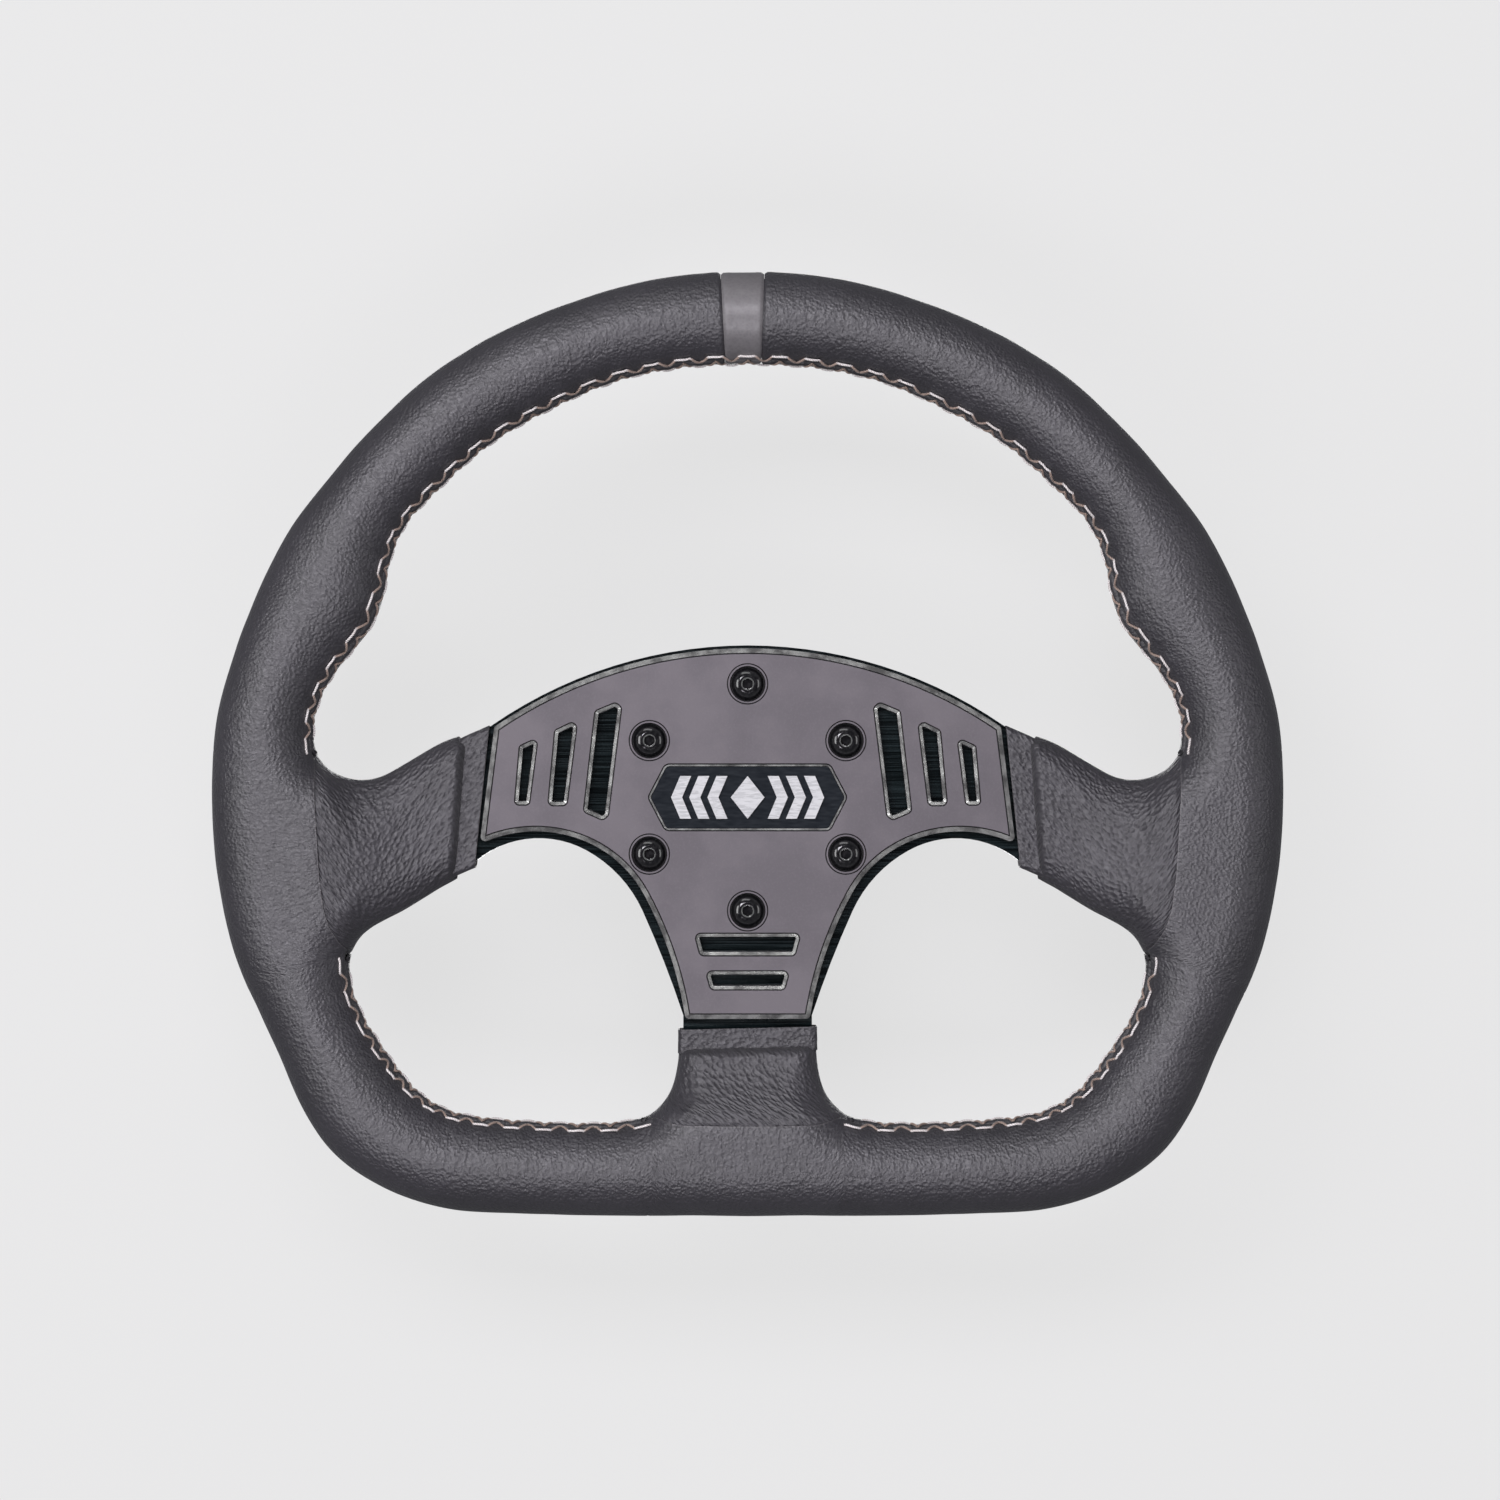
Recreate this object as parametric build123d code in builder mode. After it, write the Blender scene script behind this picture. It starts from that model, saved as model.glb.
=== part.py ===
"""Quick release steering wheel: a 330 mm flat-bottomed, leather-wrapped wheel on a splined quick release hub.

Frame: the wheel's axis is Y, the driver sits at -Y, +X is the driver's right and +Z is up.
The origin is the centre of the steering shaft bore's mouth, at the rear end of the column stub.
Along the axis everything is placed by u, its distance in front of that mouth: y = -u.
"""

import os
from math import cos, radians, sin, sqrt

from build123d import *

os.makedirs("parts", exist_ok=True)

# ---------------------------------------------------------------- driving dimensions (mm)
# column stub
shaft_bore_r = 9.525  # 3/4 inch steering shaft
shaft_bore_depth = 24.0
stub_shank_r = 17.0
stub_shoulder_r = 21.0
stub_shoulder_u = (20.0, 25.0)
spline_teeth = 24
spline_u = (25.0, 43.0)
spline_major_r = 15.75
spline_minor_r = 14.0
nose_r = 12.75
nose_end_u = 58.0

# hub
hub_rear_u = 26.5
barrel_r = 18.8
pilot_r = 12.8
hub_spline_tip_r = 14.15
hub_spline_root_r = 15.9
spline_side_gap = 0.08
flange_r = 41.0
flange_u = (70.0, 79.0)
wheel_pcd = 70.0
wheel_bolts = 6

# locking balls
ball_r = 4.0
ball_count = 6
ball_u = 52.0
ball_locked_r = 14.8  # ball centres, locked
ball_lift = 2.1

# release collar
collar_travel = 8.0
collar_u = (35.45, 60.0)
collar_body_r = 26.5
collar_flange_r = 34.0
collar_lip_r = 18.9
collar_cavity_r = 21.2
collar_land_r = 18.85
spring_pocket_r = 23.2
spring_wire_r = 0.8
spring_mean_r = 21.0

# wheel
core_u = (79.0, 83.0)
faceplate_u = (83.0, 88.0)
core_hole_r = 25.0
screw_r = 2.5
screw_head_r = 4.9
screw_head_h = 2.75
counterbore_r = 5.55
counterbore_depth = 1.8
rim_u = 85.0  # centre of the grip and of the steel ring
grip_r = 14.6
leather_t = 1.3
ring_rod_r = 5.0
stripe_x = (-7.6, 4.7)
stripe_gap = 0.15
stitch_pitch = 9.2
stitch_len = 4.2
thread_r = 0.3

# Centreline of the rim, right half, from the top centre: an arc, a tighter arc, a straight and the corner arc,
# then a straight along the bottom. Headings are in degrees clockwise from +X.
rim_top_z = 147.5
rim_arcs = [(150.8, 83.7), (125.0, 25.6)]  # radius, turn
rim_side_straight = 39.5
rim_corner_r = 52.6

# Spoke padding, right spoke: outline x, z and side profile x, u. Bottom spoke: outline x, z and side profile z, u.
side_pad_outline = [
    (89.2, 18.6), (97.0, 15.6), (106.0, 10.6), (115.0, 6.2), (137.0, 5.2),
    (137.0, -43.5), (124.0, -43.5), (115.0, -39.4), (106.0, -34.6), (97.0, -29.4), (89.2, -24.8),
]
side_pad_profile = [(89.2, 73.5), (89.2, 90.0), (97.0, 93.5), (110.0, 97.0), (137.0, 97.0), (137.0, 73.0)]
bottom_pad_outline = [(-21.4, -77.0), (21.4, -77.0), (22.2, -86.0), (26.0, -95.0), (32.0, -102.0), (-32.0, -102.0), (-26.0, -95.0), (-22.2, -86.0)]
bottom_pad_profile = [(-77.0, 73.5), (-77.0, 90.0), (-84.0, 93.5), (-94.0, 97.0), (-102.0, 97.0), (-102.0, 73.0)]
glue_gap = 0.1
end_band_u = (75.5, 86.5)


# ---------------------------------------------------------------- helpers
def face_plane(u):
    """Plane square to the wheel's axis at u, as the driver sees it: local x is X, local y is Z."""
    return Plane(origin=(0, -u, 0), x_dir=(1, 0, 0), z_dir=(0, -1, 0))


AXIAL = Plane(origin=(0, 0, 0), x_dir=(1, 0, 0), z_dir=(0, 0, -1))  # local x is the radius, local y is u
WHEEL_AXIS = Axis((0, 0, 0), (0, -1, 0))


def polar_plane(u, radius, degrees_):
    """Plane whose normal points out along a radius of the wheel at u."""
    a = radians(degrees_)
    d = Vector(cos(a), 0, sin(a))
    return Plane(origin=Vector(0, -u, 0) + d * radius, x_dir=(0, -1, 0), z_dir=d)


def export(builder, name):
    builder.part.label = name
    export_step(builder.part, f"parts/{name}.step")


# ---------------------------------------------------------------- column stub (stays on the car)
groove_r = ball_r + 0.15
groove_half = sqrt(groove_r**2 - (ball_locked_r - nose_r) ** 2)
with BuildPart() as column_stub:
    with BuildSketch(AXIAL):
        with BuildLine():
            p = Polyline(
                (0, shaft_bore_depth),
                (shaft_bore_r, shaft_bore_depth),
                (shaft_bore_r, 0),
                (stub_shank_r - 1.6, 0),
                (stub_shank_r, 1.6),
                (stub_shank_r, stub_shoulder_u[0]),
                (stub_shoulder_r - 0.8, stub_shoulder_u[0]),
                (stub_shoulder_r, stub_shoulder_u[0] + 0.8),
                (stub_shoulder_r, stub_shoulder_u[1] - 0.5),
                (stub_shoulder_r - 0.5, stub_shoulder_u[1]),
                (spline_minor_r, stub_shoulder_u[1]),
                (spline_minor_r, spline_u[1] - 1.0),
                (nose_r, spline_u[1] + 0.4),
                (nose_r, ball_u - groove_half),
            )
            ThreePointArc(
                (nose_r, ball_u - groove_half),
                (ball_locked_r - groove_r, ball_u),
                (nose_r, ball_u + groove_half),
            )
            Polyline(
                (nose_r, ball_u + groove_half),
                (nose_r, nose_end_u - 1.5),
                (nose_r - 1.5, nose_end_u),
                (0, nose_end_u),
                (0, shaft_bore_depth),
            )
        make_face()
    revolve(axis=WHEEL_AXIS)
    # male spline teeth, flanks tapering towards the tip
    with BuildSketch(face_plane(spline_u[0])):
        with PolarLocations(0, spline_teeth):
            Polygon(
                (spline_minor_r - 0.8, -1.06),
                (spline_major_r, -0.72),
                (spline_major_r, 0.72),
                (spline_minor_r - 0.8, 1.06),
                align=None,
            )
    extrude(amount=spline_u[1] - 1.0 - spline_u[0])
export(column_stub, "column_stub")

with BuildPart() as anti_rattle_washer:
    with BuildSketch(face_plane(stub_shoulder_u[1])):
        Circle(20.3)
        Circle(16.1, mode=Mode.SUBTRACT)
    extrude(amount=hub_rear_u - stub_shoulder_u[1])
export(anti_rattle_washer, "anti_rattle_washer")

# ---------------------------------------------------------------- quick release hub (stays on the wheel)
relief_u = (45.0, 47.0)
retainer_u = (34.0, 35.3)
with BuildPart() as quick_release_hub:
    with BuildSketch(AXIAL):
        with BuildLine():
            Polyline(
                (16.6, hub_rear_u),
                (barrel_r - 0.6, hub_rear_u),
                (barrel_r, hub_rear_u + 0.6),
                (barrel_r, retainer_u[0] - 0.05),
                (17.85, retainer_u[0] - 0.05),
                (17.85, retainer_u[1] + 0.05),
                (barrel_r, retainer_u[1] + 0.05),
                (barrel_r, flange_u[0] - 1.0),
                (barrel_r + 1.0, flange_u[0]),
                (flange_r - 1.2, flange_u[0]),
                (flange_r, flange_u[0] + 1.2),
                (flange_r, flange_u[1] - 0.6),
                (flange_r - 0.6, flange_u[1]),
                (7.0, flange_u[1]),
                (6.0, flange_u[1] - 1.0),
                (6.0, 62.0),
                (pilot_r, 60.5),
                (pilot_r, relief_u[1]),
                (hub_spline_root_r + 0.3, relief_u[1]),
                (hub_spline_root_r + 0.3, relief_u[0]),
                (hub_spline_tip_r, relief_u[0]),
                (hub_spline_tip_r, hub_rear_u + 2.45),
                (16.6, hub_rear_u),
            )
        make_face()
    revolve(axis=WHEEL_AXIS)
    # female spline: the same flanks as the male one, opened by the running gap
    slope = 0.34 / (spline_major_r - spline_minor_r + 0.8)
    root_half = 0.72 - slope * (hub_spline_root_r - spline_major_r) + spline_side_gap
    tip_half = 1.06 + spline_side_gap
    with BuildSketch(face_plane(hub_rear_u - 0.5)):
        with PolarLocations(0, spline_teeth):
            Polygon(
                (spline_minor_r - 0.8, -tip_half),
                (hub_spline_root_r, -root_half),
                (hub_spline_root_r, root_half),
                (spline_minor_r - 0.8, tip_half),
                align=None,
            )
    extrude(amount=relief_u[0] + 0.5 - (hub_rear_u - 0.5), mode=Mode.SUBTRACT)
    # ball holes, each with a narrow lip at the bore that keeps the ball in
    with Locations(*[polar_plane(ball_u, 13.2, 360 / ball_count * i).location for i in range(ball_count)]):
        Cylinder(ball_r + 0.05, 8, align=(Align.CENTER, Align.CENTER, Align.MIN), mode=Mode.SUBTRACT)
    with Locations(*[polar_plane(ball_u, 11.0, 360 / ball_count * i).location for i in range(ball_count)]):
        Cylinder(3.7, 3, align=(Align.CENTER, Align.CENTER, Align.MIN), mode=Mode.SUBTRACT)
    # tapped holes for the wheel screws
    with BuildSketch(face_plane(flange_u[0] - 1)):
        with PolarLocations(wheel_pcd / 2, wheel_bolts, start_angle=90):
            Circle(screw_r + 0.05)
    extrude(amount=flange_u[1] - flange_u[0] + 2, mode=Mode.SUBTRACT)
export(quick_release_hub, "quick_release_hub")

for i in range(ball_count):
    with BuildPart() as locking_ball:
        with Locations(polar_plane(ball_u, ball_locked_r, 360 / ball_count * i).location):
            Sphere(ball_r)
    export(locking_ball, f"locking_ball_{i + 1}")

with BuildPart() as release_collar:
    cone_end = 52.45
    with BuildSketch(AXIAL):
        with BuildLine():
            Polyline(
                (collar_lip_r, collar_u[0]),
                (collar_body_r - 1.5, collar_u[0]),
                (collar_body_r, collar_u[0] + 1.5),
                (collar_body_r, 50.5),
                (28.5, 53.0),
                (collar_flange_r - 1.5, 53.6),
                (collar_flange_r, 55.1),
                (collar_flange_r, collar_u[1] - 1.2),
                (collar_flange_r - 1.2, collar_u[1]),
                (spring_pocket_r, collar_u[1]),
                (spring_pocket_r, 55.0),
                (collar_land_r, 55.0),
                (collar_land_r, cone_end),
                (collar_cavity_r, 43.5),
                (collar_cavity_r, 38.5),
                (collar_lip_r, 38.5),
                (collar_lip_r, collar_u[0]),
            )
        make_face()
    revolve(axis=WHEEL_AXIS)
    # finger scallops round the flange
    with BuildSketch(face_plane(52.0)):
        with PolarLocations(collar_flange_r + 3.6, 12):
            Circle(6.0)
    extrude(amount=9, mode=Mode.SUBTRACT)
    # grip grooves round the body
    for u in (40.0, 43.4, 46.8):
        with BuildSketch(AXIAL):
            with Locations((collar_body_r + 0.35, u)):
                Circle(1.1)
        revolve(axis=WHEEL_AXIS, mode=Mode.SUBTRACT)
export(release_collar, "release_collar")

with BuildPart() as collar_retaining_ring:
    with BuildSketch(face_plane(retainer_u[0])):
        Circle(21.0)
        Circle(17.9, mode=Mode.SUBTRACT)
        with Locations((0, -20)):
            Rectangle(5, 8, mode=Mode.SUBTRACT)
    extrude(amount=retainer_u[1] - retainer_u[0])
export(collar_retaining_ring, "collar_retaining_ring")

spring_u = (55.0 + spring_wire_r + 0.05, flange_u[0] - spring_wire_r - 0.05)
with BuildPart() as collar_spring:
    with BuildLine():
        coil = Helix(
            pitch=(spring_u[1] - spring_u[0]) / 3.5,
            height=spring_u[1] - spring_u[0],
            radius=spring_mean_r,
            center=(0, -spring_u[0], 0),
            direction=(0, -1, 0),
        )
    with BuildSketch(Plane(origin=coil @ 0, z_dir=coil % 0)):
        Circle(spring_wire_r)
    sweep(path=coil, is_frenet=True)
export(collar_spring, "collar_spring")

# ---------------------------------------------------------------- rim centreline
def turn(point, heading, radius, angle):
    """End point of a clockwise arc and the point half way along it."""

    def at(h):
        a, b = radians(heading), radians(h)
        return (point[0] + radius * (sin(b) - sin(a)), point[1] + radius * (cos(b) - cos(a)))

    return at(heading + angle / 2), at(heading + angle)


rim_top = (0.0, rim_top_z)
arc1_mid, arc1_end = turn(rim_top, 0, *rim_arcs[0])
arc2_mid, arc2_end = turn(arc1_end, rim_arcs[0][1], *rim_arcs[1])
side_heading = rim_arcs[0][1] + rim_arcs[1][1]
straight_end = (
    arc2_end[0] + rim_side_straight * cos(radians(side_heading)),
    arc2_end[1] - rim_side_straight * sin(radians(side_heading)),
)
corner_mid, corner_end = turn(straight_end, side_heading, rim_corner_r, 180 - side_heading)
rim_bottom = (0.0, corner_end[1])
with BuildLine(face_plane(rim_u)) as rim_path:
    ThreePointArc(rim_top, arc1_mid, arc1_end)
    ThreePointArc(arc1_end, arc2_mid, arc2_end)
    Line(arc2_end, straight_end)
    ThreePointArc(straight_end, corner_mid, corner_end)
    Line(corner_end, rim_bottom)
rim_wire = rim_path.wires()[0]
rim_start = Plane(origin=(0, -rim_u, rim_top_z), x_dir=(0, 0, 1), z_dir=(1, 0, 0))


with BuildPart() as rim_ring:
    with BuildSketch(rim_start):
        Circle(ring_rod_r)
    sweep(path=rim_wire)
    mirror(rim_ring.part, about=Plane.YZ)
export(rim_ring, "rim_ring")


# ---------------------------------------------------------------- plate outlines
with BuildPart() as core_plate:
    with BuildSketch(face_plane(core_u[0])):
        with BuildLine() as half:
            top = ThreePointArc((0, 47.0), (-40.6, 40.9), (-79.2, 22.2))
            arm = Polyline(
                (-79.2, 22.2), (-86.5, 15.0), (-101.0, 6.5), (-118.0, -3.0), (-147.0, -6.0), (-145.0, -30.0), (-118.0, -30.5), (-98.0, -25.5), (-83.8, -19.5)
            )
            a1 = ThreePointArc((-83.8, -19.5), (-64.5, -12.7), (-50.0, -16.4))
            a2 = TangentArc((-50.0, -16.4), (-32.5, -35.2), tangent=a1 % 1)
            a3 = TangentArc((-32.5, -35.2), (-19.9, -67.5), tangent=a2 % 1)
            Polyline((-19.9, -67.5), (-19.9, -71.5), (-17.5, -82.0), (-16.5, -112.5), (0, -112.5))
            mirror(half.line, about=Plane.YZ)
        make_face()
        Circle(core_hole_r, mode=Mode.SUBTRACT)
        with PolarLocations(wheel_pcd / 2, wheel_bolts, start_angle=90):
            Circle(screw_r + 0.15, mode=Mode.SUBTRACT)
    extrude(amount=core_u[1] - core_u[0])
    add(rim_ring.part, mode=Mode.SUBTRACT)
export(core_plate, "core_plate")

side_slots = [
    [(-70.6, 16.0), (-65.8, 18.2), (-64.6, 16.6), (-67.1, -2.6), (-72.2, -2.6)],
    [(-59.7, 20.8), (-54.0, 23.6), (-52.4, 22.0), (-55.5, -2.8), (-61.9, -2.8)],
    [(-47.3, 26.8), (-40.6, 29.6), (-38.6, 27.8), (-42.7, -5.6), (-44.5, -7.4), (-50.9, -4.6)],
]
bottom_slots = [
    [(-16.8, -41.7), (16.8, -41.7), (14.8, -49.1), (-14.8, -49.1)],
    [(-13.3, -53.3), (13.3, -53.3), (11.6, -59.6), (-11.6, -59.6)],
]
all_slots = side_slots + [[(-x, z) for x, z in reversed(s)] for s in side_slots] + bottom_slots
outline_chamfer = 1.4
slot_chamfer = 0.95
line_w = 0.4  # engraved line beside each chamfer
line_depth = 0.3
screw_line_r = 6.0
pocket_chamfer = 0.5
badge_pocket = [(-30.0, 0.0), (-25.0, 9.6), (25.0, 9.6), (30.0, 0.0), (25.0, -9.6), (-25.0, -9.6)]
pocket_depth = 1.2

with BuildPart() as faceplate:
    with BuildSketch(face_plane(faceplate_u[0])) as plate_sketch:
        with BuildLine() as half:
            ThreePointArc((0, 46.0), (-40.2, 40.0), (-78.2, 21.72))
            Polyline((-78.2, 21.72), (-82.7, -14.4))
            b1 = ThreePointArc((-82.7, -14.4), (-65.5, -10.5), (-52.0, -12.83))
            b2 = TangentArc((-52.0, -12.83), (-32.0, -29.99), tangent=b1 % 1)
            b3 = TangentArc((-32.0, -29.99), (-19.2, -68.4), tangent=b2 % 1)
            Line((-19.2, -68.4), (0, -68.4))
            mirror(half.line, about=Plane.YZ)
        make_face()
        fillet(plate_sketch.vertices().filter_by(lambda v: abs(v.X) > 75 or 19 < abs(v.X) < 20), 1.4)
    extrude(amount=faceplate_u[1] - faceplate_u[0])
    front_edges = faceplate.faces().sort_by(Axis.Y)[0].outer_wire().edges()
    chamfer(front_edges, outline_chamfer)
    # slots through the plate
    with BuildSketch(face_plane(faceplate_u[0] - 1)) as slot_sketch:
        for s in all_slots:
            with BuildLine():
                Polyline(*s, close=True)
            make_face()
        # the listed outlines are the outer edge of the engraved line, so the opening lies inside them
        offset(amount=-(slot_chamfer + line_w), kind=Kind.INTERSECTION, mode=Mode.REPLACE)
        fillet(slot_sketch.vertices().filter_by(lambda v: abs(v.X) > 63.5), 0.25)
        fillet(slot_sketch.vertices().filter_by(lambda v: abs(v.X) < 63.5), 0.5)
    extrude(amount=faceplate_u[1] - faceplate_u[0] + 2, mode=Mode.SUBTRACT)
    slot_edges = [e for w in faceplate.faces().sort_by(Axis.Y)[0].inner_wires() for e in w.edges()]
    chamfer(slot_edges, slot_chamfer)
    # badge pocket
    with BuildSketch(face_plane(faceplate_u[1] - pocket_depth)) as pocket_sketch:
        with BuildLine():
            Polyline(*badge_pocket, close=True)
        make_face()
        fillet(pocket_sketch.vertices(), 1.6)
    extrude(amount=pocket_depth + 1, mode=Mode.SUBTRACT)
    pocket_wire = faceplate.faces().sort_by(Axis.Y)[0].inner_wires().sort_by(lambda w: w.center().X**2 + w.center().Z**2)[0]
    chamfer(pocket_wire.edges(), pocket_chamfer)
    # screw holes and counterbores
    with BuildSketch(face_plane(faceplate_u[0] - 1)):
        with PolarLocations(wheel_pcd / 2, wheel_bolts, start_angle=90):
            Circle(screw_r + 0.15)
    extrude(amount=faceplate_u[1] - faceplate_u[0] + 2, mode=Mode.SUBTRACT)
    with BuildSketch(face_plane(faceplate_u[1] - counterbore_depth)):
        with PolarLocations(wheel_pcd / 2, wheel_bolts, start_angle=90):
            Circle(counterbore_r)
    extrude(amount=counterbore_depth + 1, mode=Mode.SUBTRACT)
    # engraved lines: inside the outline's chamfer, round each slot, round the badge pocket and round each screw
    with BuildSketch(face_plane(faceplate_u[1] - line_depth)):
        add(offset(plate_sketch.sketch_local, amount=-outline_chamfer, mode=Mode.PRIVATE))
        add(offset(plate_sketch.sketch_local, amount=-outline_chamfer - line_w, mode=Mode.PRIVATE), mode=Mode.SUBTRACT)
    extrude(amount=line_depth + 1, mode=Mode.SUBTRACT)
    for inner, edge in ((slot_sketch, slot_chamfer), (pocket_sketch, pocket_chamfer)):
        with BuildSketch(face_plane(faceplate_u[1] - line_depth)):
            add(offset(inner.sketch_local, amount=edge + line_w, mode=Mode.PRIVATE))
            add(offset(inner.sketch_local, amount=edge, mode=Mode.PRIVATE), mode=Mode.SUBTRACT)
        extrude(amount=line_depth + 1, mode=Mode.SUBTRACT)
    with BuildSketch(face_plane(faceplate_u[1] - line_depth)):
        with PolarLocations(wheel_pcd / 2, wheel_bolts, start_angle=90):
            Circle(screw_line_r + line_w)
            Circle(screw_line_r, mode=Mode.SUBTRACT)
    extrude(amount=line_depth + 1, mode=Mode.SUBTRACT)
export(faceplate, "faceplate")

# ---------------------------------------------------------------- badge
with BuildPart() as badge_plate:
    with BuildSketch(face_plane(faceplate_u[1] - pocket_depth)) as bp:
        with BuildLine():
            Polyline(*badge_pocket, close=True)
        make_face()
        fillet(bp.vertices(), 1.6)
        offset(amount=-0.15, mode=Mode.REPLACE)
    extrude(amount=0.7)
export(badge_plate, "badge_plate")

badge_bars = [[(6.2 + 5.6 * i, -6.6), (9.6 + 5.6 * i, -6.6), (12.4 + 5.6 * i, 0), (9.6 + 5.6 * i, 6.6), (6.2 + 5.6 * i, 6.6), (9.0 + 5.6 * i, 0)] for i in range(3)]
with BuildPart() as badge_inlay:
    with BuildSketch(face_plane(faceplate_u[1] - pocket_depth + 0.7)):
        for b in badge_bars:
            with BuildLine():
                Polyline(*b, close=True)
            make_face()
            with BuildLine():
                Polyline(*[(-x, z) for x, z in b], close=True)
            make_face()
        with BuildLine():
            Polyline((-5.2, 0), (0, 6.6), (5.2, 0), (0, -6.6), close=True)
        make_face()
    extrude(amount=0.8)
export(badge_inlay, "badge_inlay")

# ---------------------------------------------------------------- wheel screws: M5 button head, hexagon socket
head_seat_u = faceplate_u[1] - counterbore_depth
with BuildPart() as wheel_screws:
    screw_locs = [Location((wheel_pcd / 2 * cos(radians(90 + 60 * i)), 0, wheel_pcd / 2 * sin(radians(90 + 60 * i)))) for i in range(wheel_bolts)]
    for loc in screw_locs:
        cx, _, cz = tuple(loc.position)
        with BuildSketch(Plane(origin=(cx, 0, cz), x_dir=(1, 0, 0), z_dir=(0, 0, -1))):
            with BuildLine():
                Polyline(
                    (0, head_seat_u + screw_head_h - 0.4),
                    (1.55, head_seat_u + screw_head_h - 0.4),
                    (2.0, head_seat_u + screw_head_h),
                    (2.6, head_seat_u + screw_head_h),
                )
                ThreePointArc((2.6, head_seat_u + screw_head_h), (4.0, head_seat_u + 2.0), (screw_head_r, head_seat_u + 0.5))
                Polyline(
                    (screw_head_r, head_seat_u + 0.5),
                    (screw_head_r, head_seat_u),
                    (screw_r, head_seat_u),
                    (screw_r, flange_u[0] + 1.6),
                    (screw_r - 0.8, flange_u[0] + 0.8),
                    (0, flange_u[0] + 0.8),
                    (0, head_seat_u + screw_head_h - 0.4),
                )
            make_face()
        revolve(axis=Axis((cx, 0, cz), (0, -1, 0)))
    with BuildSketch(face_plane(head_seat_u + screw_head_h - 1.7)):
        with PolarLocations(wheel_pcd / 2, wheel_bolts, start_angle=90):
            RegularPolygon(1.5, 6, major_radius=False)
    extrude(amount=3, mode=Mode.SUBTRACT)
export(wheel_screws, "wheel_screws")

# ---------------------------------------------------------------- rim leather
with BuildPart() as grip_solid:
    with BuildSketch(rim_start):
        Circle(grip_r)
    sweep(path=rim_wire)
with BuildPart() as grip_shell:
    with BuildSketch(rim_start):
        Circle(grip_r)
        Circle(grip_r - leather_t, mode=Mode.SUBTRACT)
    sweep(path=rim_wire)


def grown(points, amount):
    """The polygon offset by amount, as a sketch on the plane XY."""
    with BuildSketch(Plane.XY) as grown_sketch:
        with BuildLine():
            Polyline(*points, close=True)
        make_face()
        if amount:
            offset(amount=amount, kind=Kind.INTERSECTION, mode=Mode.REPLACE)
    return grown_sketch.sketch


SIDE_VIEW = Plane(origin=(0, 0, -60), x_dir=(1, 0, 0), z_dir=(0, 0, 1))  # local x is X, local y is +Y
BOTTOM_VIEW = Plane(origin=(60, 0, 0), x_dir=(0, 0, 1), z_dir=(-1, 0, 0))  # local x is Z, local y is +Y


def pad(outline, profile, view, amount, run_on):
    """A spoke's padding, smaller all round by amount, but reaching run_on further into the rim."""
    far = max if outline is side_pad_outline else min
    axis_index = 0 if outline is side_pad_outline else 1
    end = far(p[axis_index] for p in outline)
    push = run_on if outline is side_pad_outline else -run_on

    def moved(points, index):
        return [tuple(v + (push if i == index and p[index] == end else 0) for i, v in enumerate(p)) for p in points]

    with BuildPart() as pad_builder:
        with BuildSketch(face_plane(60)):
            add(grown(moved(outline, axis_index), -amount))
        extrude(amount=60)
        with BuildSketch(view):
            add(grown([(p[0], -p[1]) for p in moved(profile, 0)], -amount))
        extrude(amount=120, mode=Mode.INTERSECT)
    return pad_builder.part


side_pad_solid = pad(side_pad_outline, side_pad_profile, SIDE_VIEW, 0, 0)
side_pad_cut = pad(side_pad_outline, side_pad_profile, SIDE_VIEW, leather_t, 4)
side_pad_foam = pad(side_pad_outline, side_pad_profile, SIDE_VIEW, leather_t + glue_gap, 4)
bottom_pad_solid = pad(bottom_pad_outline, bottom_pad_profile, BOTTOM_VIEW, 0, 0)
bottom_pad_cut = pad(bottom_pad_outline, bottom_pad_profile, BOTTOM_VIEW, leather_t, 3)
bottom_pad_foam = pad(bottom_pad_outline, bottom_pad_profile, BOTTOM_VIEW, leather_t + glue_gap, 3)

with BuildPart() as cut_shell:
    add(grip_shell.part)
    add(side_pad_cut, mode=Mode.SUBTRACT)
    add(bottom_pad_cut, mode=Mode.SUBTRACT)
with BuildPart() as leather_upper_right:
    add(cut_shell.part)
    split(bisect_by=Plane(origin=(0, 0, 0), z_dir=(0, 0, 1)), keep=Keep.TOP)
    split(bisect_by=Plane(origin=(stripe_x[1] + stripe_gap, 0, 0), z_dir=(1, 0, 0)), keep=Keep.TOP)
export(leather_upper_right, "leather_upper_right")
with BuildPart() as leather_lower_right:
    add(cut_shell.part)
    split(bisect_by=Plane(origin=(0, 0, 0), z_dir=(0, 0, 1)), keep=Keep.BOTTOM)
export(leather_lower_right, "leather_lower_right")
with BuildPart() as leather_upper_left:
    mirror(cut_shell.part, about=Plane.YZ)
    split(bisect_by=Plane(origin=(0, 0, 0), z_dir=(0, 0, 1)), keep=Keep.TOP)
    split(bisect_by=Plane(origin=(stripe_x[0] - stripe_gap, 0, 0), z_dir=(1, 0, 0)), keep=Keep.BOTTOM)
export(leather_upper_left, "leather_upper_left")
with BuildPart() as leather_lower_left:
    mirror(leather_lower_right.part, about=Plane.YZ)
export(leather_lower_left, "leather_lower_left")

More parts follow.
